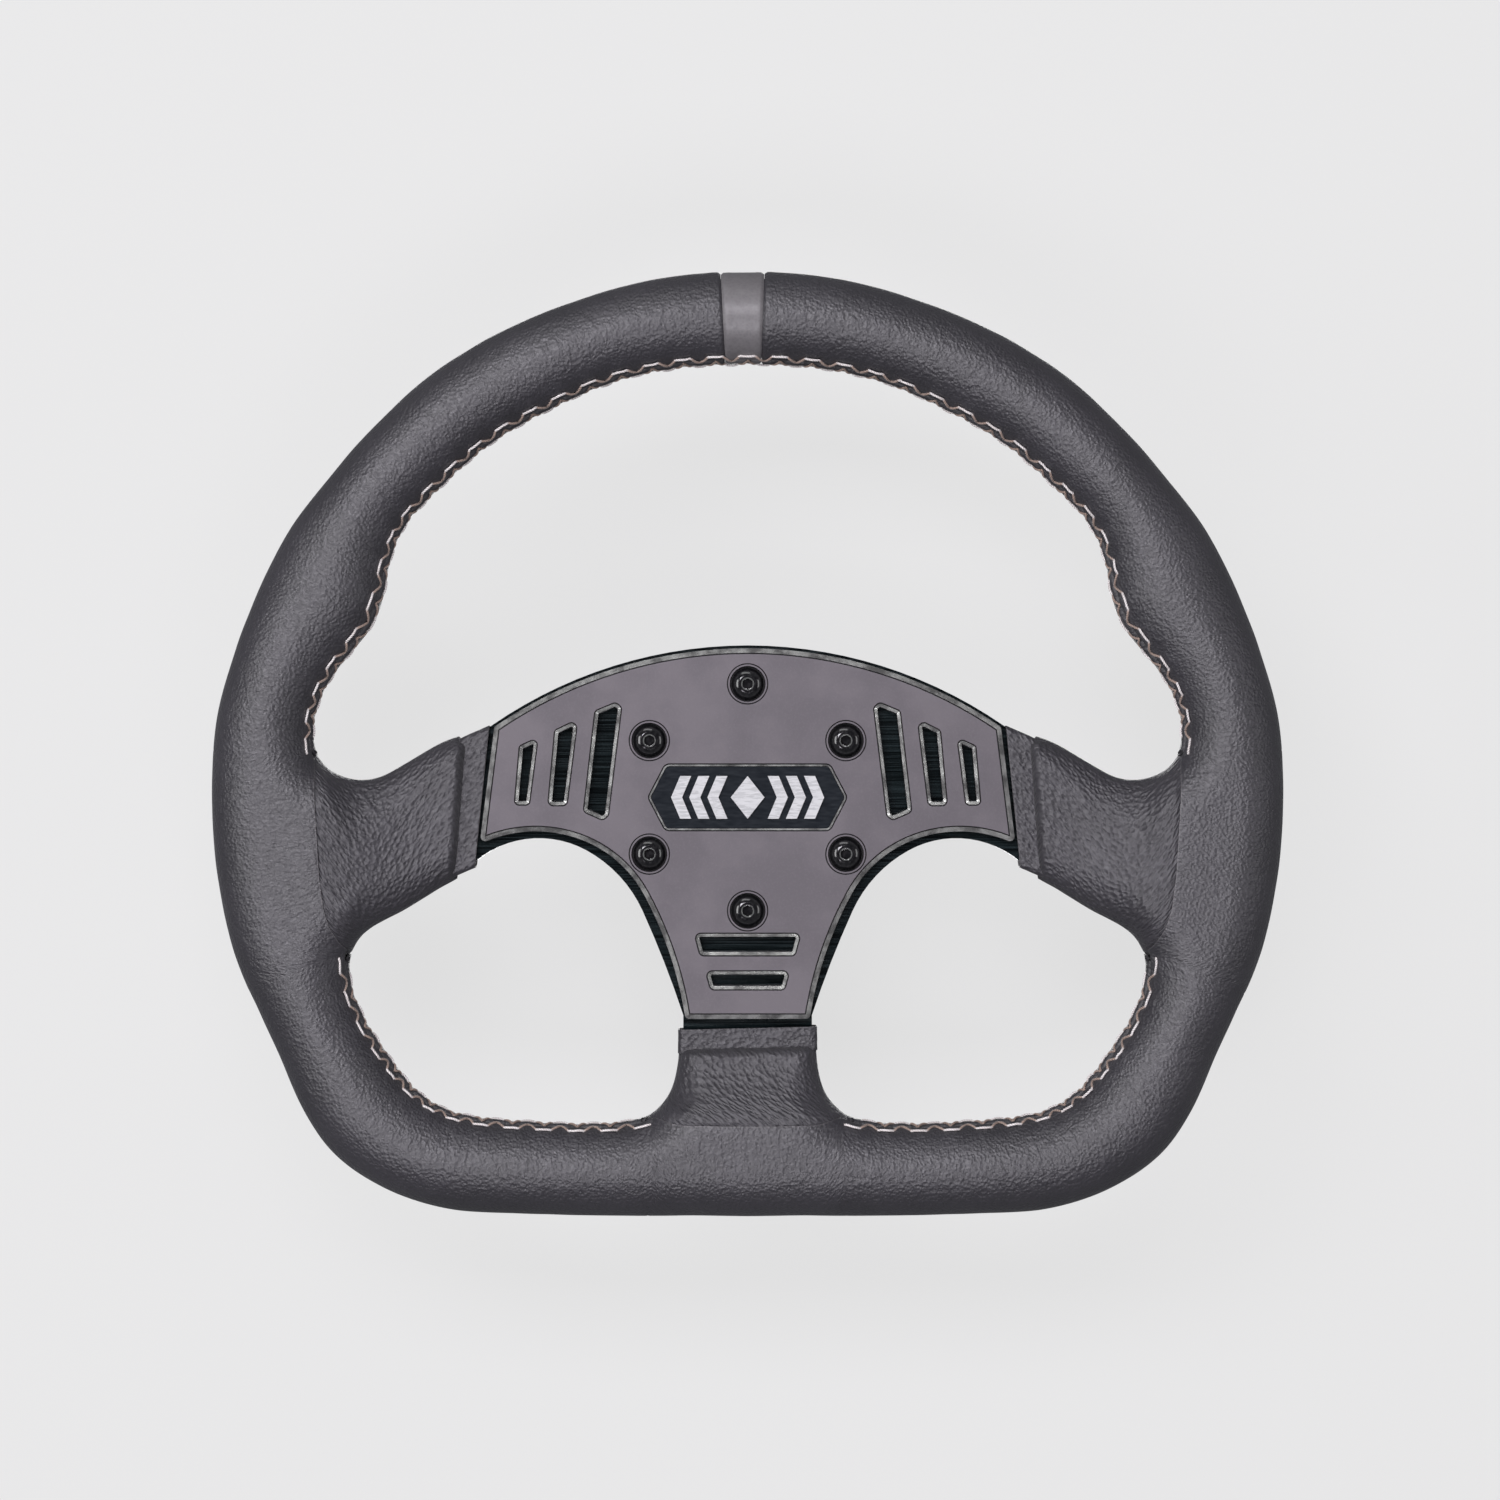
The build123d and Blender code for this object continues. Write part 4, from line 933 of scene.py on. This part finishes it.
# ------------------------------------------------------------------ materials
class Mat:
    """A Principled material with a few short ways to add nodes."""

    def __init__(self, name, base=(0.5, 0.5, 0.5), rough=0.5, metal=0.0, **more):
        m = bpy.data.materials.new(name)
        m.use_nodes = True
        self.m, self.t = m, m.node_tree
        self.b = self.t.nodes["Principled BSDF"]
        self.b.inputs["Base Color"].default_value = (*base, 1)
        self.b.inputs["Roughness"].default_value = rough
        self.b.inputs["Metallic"].default_value = metal
        for k, v in more.items():
            self.b.inputs[k.replace("_", " ")].default_value = v
        self.bump_out = None

    def node(self, kind, **props):
        n = self.t.nodes.new(kind)
        for k, v in props.items():
            if k in n.inputs.keys() if hasattr(n.inputs, "keys") else False:
                n.inputs[k].default_value = v
            else:
                setattr(n, k, v)
        return n

    def link(self, a, b):
        self.t.links.new(a, b)

    def coords(self, attribute=None, scale=(1, 1, 1), obj_mm=False):
        if attribute:
            src = self.node("ShaderNodeAttribute", attribute_name=attribute).outputs["Vector"]
        else:
            src = self.node("ShaderNodeTexCoord").outputs["Object"]
            scale = tuple(1000.0 * s for s in scale)
        mp = self.node("ShaderNodeMapping")
        mp.inputs["Scale"].default_value = scale
        self.link(src, mp.inputs["Vector"])
        return mp.outputs["Vector"]

    def attr(self, name):
        return self.node("ShaderNodeAttribute", attribute_name=name).outputs["Fac"]

    def noise(self, vec, scale, detail=3.0, rough=0.5, distortion=0.0):
        n = self.node("ShaderNodeTexNoise")
        n.inputs["Scale"].default_value = scale
        n.inputs["Detail"].default_value = detail
        n.inputs["Roughness"].default_value = rough
        n.inputs["Distortion"].default_value = distortion
        self.link(vec, n.inputs["Vector"])
        return n.outputs["Fac"]

    def voronoi(self, vec, scale, feature="F1", randomness=1.0, smooth=None):
        n = self.node("ShaderNodeTexVoronoi", feature=feature)
        n.inputs["Scale"].default_value = scale
        n.inputs["Randomness"].default_value = randomness
        if smooth is not None:
            n.inputs["Smoothness"].default_value = smooth
        self.link(vec, n.inputs["Vector"])
        return n.outputs["Distance"]

    def warp(self, vec, scale, amount):
        n = self.node("ShaderNodeTexNoise")
        n.inputs["Scale"].default_value = scale
        n.inputs["Detail"].default_value = 2.0
        self.link(vec, n.inputs["Vector"])
        sub = self.node("ShaderNodeVectorMath", operation="SUBTRACT")
        self.link(n.outputs["Color"], sub.inputs[0])
        sub.inputs[1].default_value = (0.5, 0.5, 0.5)
        mul = self.node("ShaderNodeVectorMath", operation="SCALE")
        self.link(sub.outputs[0], mul.inputs[0])
        mul.inputs["Scale"].default_value = amount
        add = self.node("ShaderNodeVectorMath", operation="ADD")
        self.link(vec, add.inputs[0])
        self.link(mul.outputs[0], add.inputs[1])
        return add.outputs[0]

    def math(self, op, a, b=None, clamp=False):
        n = self.node("ShaderNodeMath", operation=op, use_clamp=clamp)
        for i, v in enumerate((a, b)):
            if v is None:
                continue
            if isinstance(v, (int, float)):
                n.inputs[i].default_value = v
            else:
                self.link(v, n.inputs[i])
        return n.outputs[0]

    def ramp(self, v, lo, hi, a=0.0, b=1.0):
        n = self.node("ShaderNodeMapRange", interpolation_type="SMOOTHSTEP")
        self.link(v, n.inputs["Value"])
        n.inputs["From Min"].default_value = lo
        n.inputs["From Max"].default_value = hi
        n.inputs["To Min"].default_value = a
        n.inputs["To Max"].default_value = b
        return n.outputs["Result"]

    def mix(self, f, a, b):
        n = self.node("ShaderNodeMix", data_type="RGBA")
        if isinstance(f, (int, float)):
            n.inputs[0].default_value = f
        else:
            self.link(f, n.inputs[0])
        for sock, v in ((n.inputs[6], a), (n.inputs[7], b)):
            if isinstance(v, tuple):
                sock.default_value = (*v, 1)
            else:
                self.link(v, sock)
        return n.outputs[2]

    def bump(self, height, distance, strength=1.0):
        n = self.node("ShaderNodeBump")
        n.inputs["Strength"].default_value = strength
        n.inputs["Distance"].default_value = distance
        self.link(height, n.inputs["Height"])
        if self.bump_out is not None:
            self.link(self.bump_out, n.inputs["Normal"])
        self.bump_out = n.outputs["Normal"]
        self.link(self.bump_out, self.b.inputs["Normal"])

    def color(self, c):
        self.link(c, self.b.inputs["Base Color"])

    def rough(self, r):
        self.link(r, self.b.inputs["Roughness"])


def leather_material(name, dark, light, rough, pebble, cell, wrinkle, spec=0.5, raw=(0.085, 0.08, 0.085)):
    m = Mat(name, base=dark, rough=rough, Specular_IOR_Level=spec)
    m.b.inputs["Sheen Weight"].default_value = 0.06
    m.b.inputs["Sheen Roughness"].default_value = 0.45
    v = m.coords("wrap")
    vw = m.warp(v, 0.35, 1.1)
    cells = m.voronoi(vw, 1.0 / cell, "SMOOTH_F1", 1.0, 0.35)
    fine = m.noise(vw, 2.6, 4.0, 0.6)
    long_ = m.coords("wrap", (0.55, 0.16, 1))
    lines = m.noise(m.warp(long_, 0.9, 0.7), 1.0, 4.0, 0.62, 0.4)
    broad = m.noise(v, 0.045, 3.0, 0.5)
    m.bump(cells, pebble * MM, 1.0)
    m.bump(lines, wrinkle * MM, 1.0)
    m.bump(fine, 0.035 * MM, 1.0)
    c = m.mix(m.ramp(broad, 0.35, 0.65), dark, light)
    c = m.mix(m.ramp(cells, 0.1, 0.75, 0.30, 0.0), c, tuple(x * 0.55 for x in dark))
    # painted shade: darker along the seams, the sleeve hems and where the end bands go under the padding
    c = m.mix(m.math("MULTIPLY", m.attr("crease_shade"), 0.45, True), c, tuple(x * 0.5 for x in dark))
    c = m.mix(m.math("MULTIPLY", m.attr("raw"), 1.0, True), c, raw)
    m.color(c)
    r = m.math("ADD", m.ramp(m.noise(v, 0.5, 3.0, 0.6), 0.3, 0.7, rough - 0.05, rough + 0.05), m.math("MULTIPLY", m.attr("crease_shade"), 0.10))
    m.rough(r)
    return m.m


rim_mat = leather_material("rim_leather", (0.0165, 0.0150, 0.0198), (0.0225, 0.0205, 0.0265), 0.49, 0.24, 1.0, 0.34, 0.88)
sleeve_mat = leather_material("sleeve_leather", (0.0210, 0.0192, 0.0245), (0.0280, 0.0258, 0.0325), 0.54, 0.52, 1.35, 0.22, 0.80)
stripe_mat = leather_material("stripe_leather", (0.119, 0.113, 0.118), (0.133, 0.127, 0.132), 0.40, 0.02, 0.9, 0.03, raw=(0.2, 0.2, 0.2))

m = Mat("thread", (0.42, 0.39, 0.37), 0.6)
m.b.inputs["Sheen Weight"].default_value = 0.25
v = m.coords()
ply = m.attr("ply")
# painted shade: each ply is light on its crest and dark in the groove between plies
c = m.mix(m.ramp(ply, 0.0, 0.6), (0.22, 0.19, 0.175), (0.74, 0.71, 0.70))
# painted shade: thread dipping into the seam is dark brown, and it is light where it lies on top
low = m.mix(m.ramp(ply, 0.0, 0.6), (0.070, 0.050, 0.041), (0.30, 0.22, 0.18))
c = m.mix(m.attr("top_lit"), low, c)
c = m.mix(m.ramp(m.noise(v, 0.35, 2.0), 0.35, 0.7, 0.0, 0.3), c, (0.24, 0.18, 0.15))
m.color(c)
m.bump(m.noise(m.coords(scale=(3, 3, 3)), 4.0, 2.0), 0.03 * MM)
thread_mat = m.m

m = Mat("foam", (0.05, 0.05, 0.052), 0.85)
v = m.coords()
m.bump(m.voronoi(v, 0.9), 0.2 * MM)
m.color(m.mix(m.noise(v, 0.2), (0.04, 0.04, 0.042), (0.065, 0.065, 0.067)))
foam_mat = m.m

# faceplate: satin anodised face, bare machined chamfers with patches of painted reflection, and near-black off the face
# as painted shade on the sides and in the grooves and recesses
m = Mat("faceplate_anodised", (0.16, 0.145, 0.16), 0.45, 0.55)
tc = m.node("ShaderNodeTexCoord")
sep_n = m.node("ShaderNodeSeparateXYZ")
m.link(tc.outputs["Normal"], sep_n.inputs[0])
sep_p = m.node("ShaderNodeSeparateXYZ")
m.link(tc.outputs["Object"], sep_p.inputs[0])
ny = m.math("ABSOLUTE", sep_n.outputs["Y"])
flat = m.math("GREATER_THAN", ny, 0.93)
bevelled = m.math("SUBTRACT", m.math("GREATER_THAN", ny, 0.45), flat, True)
level = m.math("MULTIPLY", flat, m.math("LESS_THAN", sep_p.outputs["Y"], -0.08795))
v = m.coords()
mott = m.noise(v, 0.05, 4.0, 0.55)
speck = m.noise(v, 1.6, 2.0, 0.5)
face = m.mix(m.ramp(mott, 0.35, 0.65), (0.086, 0.078, 0.087), (0.106, 0.096, 0.106))
face = m.mix(m.ramp(speck, 0.45, 0.75, 0.0, 0.25), face, (0.125, 0.115, 0.125))
# bare machined chamfer metal, with noise patches of painted reflection
cut_and_reflection = m.mix(m.ramp(m.noise(m.coords(scale=(1, 1, 1)), 0.16, 4.0, 0.65), 0.36, 0.64), (0.27, 0.27, 0.265), (0.80, 0.81, 0.78))
# painted shade: everything off the top face, the sides and the floors of the groove and recesses, is near-black
c = m.mix(level, (0.012, 0.012, 0.013), face)
c = m.mix(bevelled, c, cut_and_reflection)
m.color(c)
r = m.math("ADD", m.math("MULTIPLY", level, 0.20), m.math("ADD", 0.26, m.math("MULTIPLY", m.math("SUBTRACT", mott, 0.5), 0.12)))
m.rough(r)
m.link(m.math("ADD", 0.5, m.math("MULTIPLY", bevelled, 0.25)), m.b.inputs["Metallic"])
m.bump(m.noise(m.coords(), 5.0, 2.0), 0.006 * MM)
faceplate_mat = m.m

m = Mat("core_black", (0.010, 0.013, 0.014), 0.2, 0.0, Coat_Weight=0.3, Coat_Roughness=0.08)
brushed_streak_sheen = m.noise(m.coords(scale=(0.03, 1, 2.2)), 1.0, 4.0, 0.6)
# painted sheen: teal stripes stand in for the highlights of the brushed gloss black; the same brush pattern also sets
# roughness and bump
m.color(m.mix(m.ramp(brushed_streak_sheen, 0.4, 0.7), (0.0010, 0.002, 0.0024), (0.007, 0.015, 0.017)))
m.rough(m.ramp(brushed_streak_sheen, 0.35, 0.65, 0.10, 0.20))
m.bump(brushed_streak_sheen, 0.02 * MM)
core_mat = m.m

m = Mat("screw_black", (0.008, 0.008, 0.009), 0.2, 0.0, Coat_Weight=0.8, Coat_Roughness=0.06)
n_ = m.noise(m.coords(), 1.2, 3.0)
tc = m.node("ShaderNodeTexCoord")
sep_n = m.node("ShaderNodeSeparateXYZ")
m.link(tc.outputs["Normal"], sep_n.inputs[0])
sep_p = m.node("ShaderNodeSeparateXYZ")
m.link(tc.outputs["Object"], sep_p.inputs[0])
ny = m.math("ABSOLUTE", sep_n.outputs["Y"])
cone = m.math("MULTIPLY", m.math("GREATER_THAN", ny, 0.5), m.math("LESS_THAN", ny, 0.85))
socket_glint = m.math("MULTIPLY", cone, m.math("LESS_THAN", sep_p.outputs["Y"], -0.08858))
c = m.mix(m.ramp(n_, 0.4, 0.7), (0.006, 0.006, 0.007), (0.014, 0.014, 0.015))
# painted highlight: the cone round the hex recess is bright grey metal, a ring glint on the black screw
m.color(m.mix(socket_glint, c, (0.62, 0.62, 0.61)))
m.link(socket_glint, m.b.inputs["Metallic"])
m.rough(m.ramp(n_, 0.3, 0.7, 0.12, 0.17))
m.bump(n_, 0.006 * MM)
screw_mat = m.m

m = Mat("badge_black", (0.015, 0.018, 0.022), 0.25, 0.3)
n_ = m.noise(m.coords(scale=(0.2, 1, 1)), 1.5, 3.0)
m.color(m.mix(n_, (0.010, 0.012, 0.016), (0.025, 0.03, 0.036)))
m.rough(m.ramp(n_, 0.3, 0.7, 0.13, 0.2))
m.bump(n_, 0.006 * MM)
badge_mat = m.m

m = Mat("badge_bright", (0.78, 0.80, 0.83), 0.28, 0.15)
n_ = m.noise(m.coords(scale=(0.15, 1, 1)), 2.0, 3.0)
m.color(m.mix(n_, (0.40, 0.405, 0.415), (0.55, 0.555, 0.56)))
m.rough(m.ramp(n_, 0.3, 0.7, 0.22, 0.34))
m.bump(n_, 0.008 * MM)
bright_mat = m.m


def turned_metal(name, a, b, rough, metal, ring_scale=6.0, depth=0.012):
    """Metal turned on a lathe: rings about the wheel's axis, with faint blotches."""
    m = Mat(name, a, rough, metal)
    tc = m.node("ShaderNodeTexCoord").outputs["Object"]
    sp = m.node("ShaderNodeSeparateXYZ")
    m.link(tc, sp.inputs[0])
    rad = m.math("SQRT", m.math("ADD", m.math("MULTIPLY", sp.outputs["X"], sp.outputs["X"]), m.math("MULTIPLY", sp.outputs["Z"], sp.outputs["Z"])))
    mixed = m.node("ShaderNodeCombineXYZ")
    m.link(m.math("MULTIPLY", rad, 1000.0), mixed.inputs[0])
    m.link(m.math("MULTIPLY", sp.outputs["Y"], 1000.0), mixed.inputs[1])
    rings = m.noise(mixed.outputs[0], ring_scale, 2.0, 0.5)
    blotch = m.noise(m.coords(), 0.12, 4.0, 0.6)
    m.color(m.mix(m.ramp(blotch, 0.35, 0.65), a, b))
    m.rough(m.math("ADD", m.ramp(rings, 0.3, 0.7, rough - 0.06, rough + 0.06), m.math("MULTIPLY", m.math("SUBTRACT", blotch, 0.5), 0.15)))
    m.bump(rings, depth * MM)
    return m.m


zinc_mat = turned_metal("zinc_steel", (0.50, 0.50, 0.48), (0.62, 0.61, 0.57), 0.32, 1.0)
hub_mat = turned_metal("hub_black", (0.030, 0.030, 0.034), (0.045, 0.045, 0.050), 0.36, 0.4)
collar_mat = turned_metal("collar_anodised", (0.050, 0.050, 0.056), (0.072, 0.072, 0.080), 0.34, 0.6)
spring_mat = turned_metal("spring_steel", (0.34, 0.34, 0.35), (0.46, 0.46, 0.47), 0.30, 1.0, 3.0, 0.006)
ring_mat = turned_metal("ring_steel", (0.30, 0.30, 0.30), (0.40, 0.39, 0.38), 0.45, 1.0, 1.0)
ball_mat = turned_metal("ball_steel", (0.66, 0.66, 0.67), (0.74, 0.74, 0.75), 0.12, 1.0, 2.0, 0.002)

m = Mat("washer_nylon", (0.05, 0.05, 0.05), 0.55)
n_ = m.noise(m.coords(), 1.0, 4.0)
m.color(m.mix(n_, (0.035, 0.035, 0.036), (0.07, 0.07, 0.071)))
m.bump(n_, 0.03 * MM)
washer_mat = m.m

CAD_MATERIALS = {
    "column_stub": zinc_mat, "anti_rattle_washer": washer_mat, "quick_release_hub": hub_mat, "collar_retaining_ring": spring_mat,
    "collar_spring": spring_mat, "core_plate": core_mat, "rim_ring": ring_mat, "faceplate": faceplate_mat, "badge_plate": badge_mat,
    "badge_inlay": bright_mat, "wheel_screws": screw_mat, "release_collar": collar_mat, **{f"locking_ball_{i}": ball_mat for i in range(1, 7)},
    "foam_moulding": foam_mat,
}
for n in nodes:
    if n.startswith(("leather_", "spoke_sleeve", "end_band")):
        CAD_MATERIALS[n] = rim_mat if n.startswith("leather_") else sleeve_mat
    if n.startswith("stitching"):
        CAD_MATERIALS[n] = thread_mat
    if n == "centre_stripe":
        CAD_MATERIALS[n] = stripe_mat
    o = nodes[n]
    o.data.materials.clear()
    o.data.materials.append(CAD_MATERIALS[n])

STANDS_FOR = {
    "rim_leather_right": (("leather_upper_right", "leather_lower_right"), rim_mat, "rim_leather", 0.8),
    "rim_leather_left": (("leather_upper_left", "leather_lower_left"), rim_mat, "rim_leather", 0.8),
    "centre_stripe_band": (("centre_stripe",), stripe_mat, "stripe_leather", 0.8),
    "spoke_sleeve_leather_right": (("spoke_sleeve_right",), sleeve_mat, "sleeve_leather", 0.75),
    "spoke_sleeve_leather_left": (("spoke_sleeve_left",), sleeve_mat, "sleeve_leather", 0.75),
    "spoke_sleeve_leather_bottom": (("spoke_sleeve_bottom",), sleeve_mat, "sleeve_leather", 0.75),
    "end_band_leather_right": (("end_band_right",), sleeve_mat, "sleeve_leather", None),
    "end_band_leather_left": (("end_band_left",), sleeve_mat, "sleeve_leather", None),
    "end_band_leather_bottom": (("end_band_bottom",), sleeve_mat, "sleeve_leather", None),
    "foam_core": (("foam_moulding",), foam_mat, "foam", 0.9),
    "stitch_thread_upper": (("stitching_upper",), thread_mat, "thread", None),
    "stitch_thread_lower_right": (("stitching_lower_right",), thread_mat, "thread", None),
    "stitch_thread_lower_left": (("stitching_lower_left",), thread_mat, "thread", None),
    "collar_spring_wire": (("collar_spring",), spring_mat, "spring_steel", None),
}
for name, (stands, material, slot, fill) in STANDS_FOR.items():
    o = made[name]
    o.data.materials.append(material)
    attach(o, "wheel")
    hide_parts(*stands)
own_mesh(made["collar_spring_wire"])


# ------------------------------------------------------------------ stage, light and camera
def area(name, loc, aim, size, energy, color=(1, 1, 1), size_y=None):
    l = bpy.data.lights.new(name, "AREA")
    l.shape = "RECTANGLE"
    l.size, l.size_y = size, size_y or size
    l.energy = energy
    l.color = color
    o = bpy.data.objects.new(name, l)
    bpy.context.scene.collection.objects.link(o)
    o.location = loc
    o.rotation_euler = (Vector(aim) - Vector(loc)).to_track_quat("-Z", "Y").to_euler()
    return o


me = bpy.data.meshes.new("backdrop")
R = 3.0
yb, tilt = 0.012, 0.0
me.from_pydata([(-R, yb, -R), (R, yb, -R), (R, yb, R), (-R, yb, R)], [], [(0, 1, 2, 3)])
backdrop = bpy.data.objects.new("backdrop", me)
bpy.context.scene.collection.objects.link(backdrop)
m = bpy.data.materials.new("backdrop_paper")
m.use_nodes = True
t = m.node_tree
t.nodes.clear()
out = t.nodes.new("ShaderNodeOutputMaterial")
geo = t.nodes.new("ShaderNodeNewGeometry")
mixs = t.nodes.new("ShaderNodeMixShader")
add = t.nodes.new("ShaderNodeAddShader")
em = t.nodes.new("ShaderNodeEmission")
em.inputs["Color"].default_value = (1, 1, 1, 1)
em.inputs["Strength"].default_value = 0.69
df = t.nodes.new("ShaderNodeBsdfDiffuse")
df.inputs["Color"].default_value = (0.09, 0.09, 0.09, 1)
tr = t.nodes.new("ShaderNodeBsdfTransparent")
t.links.new(em.outputs[0], add.inputs[0])
t.links.new(df.outputs[0], add.inputs[1])
t.links.new(geo.outputs["Backfacing"], mixs.inputs[0])
t.links.new(add.outputs[0], mixs.inputs[1])
t.links.new(tr.outputs[0], mixs.inputs[2])
t.links.new(mixs.outputs[0], out.inputs["Surface"])
me.materials.append(m)
backdrop.visible_diffuse = False
backdrop.visible_glossy = False
backdrop.visible_transmission = False
backdrop.visible_shadow = False

area("key_softbox", (-0.40, -2.0, 0.78), (0, -0.08, 0.0), 1.5, 35.0, size_y=0.60, color=(1.0, 0.97, 1.035))
area("low_key_softbox", (-0.15, -2.0, -0.80), (0, -0.08, 0.0), 1.5, 22.0, size_y=0.60, color=(1.0, 0.97, 1.035))
area("top_softbox", (-0.25, -0.75, 1.35), (0, -0.08, 0.05), 1.1, 3.5, size_y=0.5)
area("left_softbox", (-1.45, -1.25, 0.10), (0, -0.08, 0.0), 0.6, 10.0, size_y=1.1)
area("right_softbox", (1.40, -0.95, 0.10), (0, -0.08, 0.0), 0.5, 3.5, size_y=1.0)
area("back_softbox", (0.05, 1.9, 0.25), (0, -0.05, 0.0), 1.0, 16.0)

w = bpy.data.worlds.new("studio")
bpy.context.scene.world = w
w.use_nodes = True
t = w.node_tree
bg = t.nodes["Background"]
lp = t.nodes.new("ShaderNodeLightPath")
wc = t.nodes.new("ShaderNodeTexCoord")
ws = t.nodes.new("ShaderNodeSeparateXYZ")
t.links.new(wc.outputs["Generated"], ws.inputs[0])
wr = t.nodes.new("ShaderNodeValToRGB")  # by direction: behind the driver, to the sides, beyond the wheel
wr.color_ramp.interpolation = "EASE"
wr.color_ramp.elements[0].position, wr.color_ramp.elements[0].color = 0.10, (0.02, 0.02, 0.021, 1)
wr.color_ramp.elements[1].position, wr.color_ramp.elements[1].color = 0.50, (0.20, 0.205, 0.21, 1)
e3 = wr.color_ramp.elements.new(0.75)
e3.color = (0.16, 0.165, 0.175, 1)
half = t.nodes.new("ShaderNodeMath")
half.operation = "MULTIPLY_ADD"
half.inputs[1].default_value, half.inputs[2].default_value = 0.5, 0.5
t.links.new(ws.outputs["Y"], half.inputs[0])
t.links.new(half.outputs[0], wr.inputs[0])
mx = t.nodes.new("ShaderNodeMix")
mx.data_type = "RGBA"
mx.inputs[7].default_value = (0.82, 0.82, 0.82, 1)
t.links.new(wr.outputs[0], mx.inputs[6])
t.links.new(lp.outputs["Is Camera Ray"], mx.inputs[0])
t.links.new(mx.outputs[2], bg.inputs["Color"])

cam_data = bpy.data.cameras.new("camera")
cam = bpy.data.objects.new("camera", cam_data)
bpy.context.scene.collection.objects.link(cam)
bpy.context.scene.camera = cam
DIST = 1.40
cam_data.sensor_width = 36.0
cam_data.lens = 18.0 / (0.4626 / 2 / DIST)
cam_data.clip_start, cam_data.clip_end = 0.05, 20
cam.location = (0.00074, -0.088 - DIST, 0.0146)
cam.rotation_euler = (math.radians(90), 0, 0)
bpy.context.scene.view_settings.view_transform = "Standard"
bpy.context.scene.view_settings.look = "None"
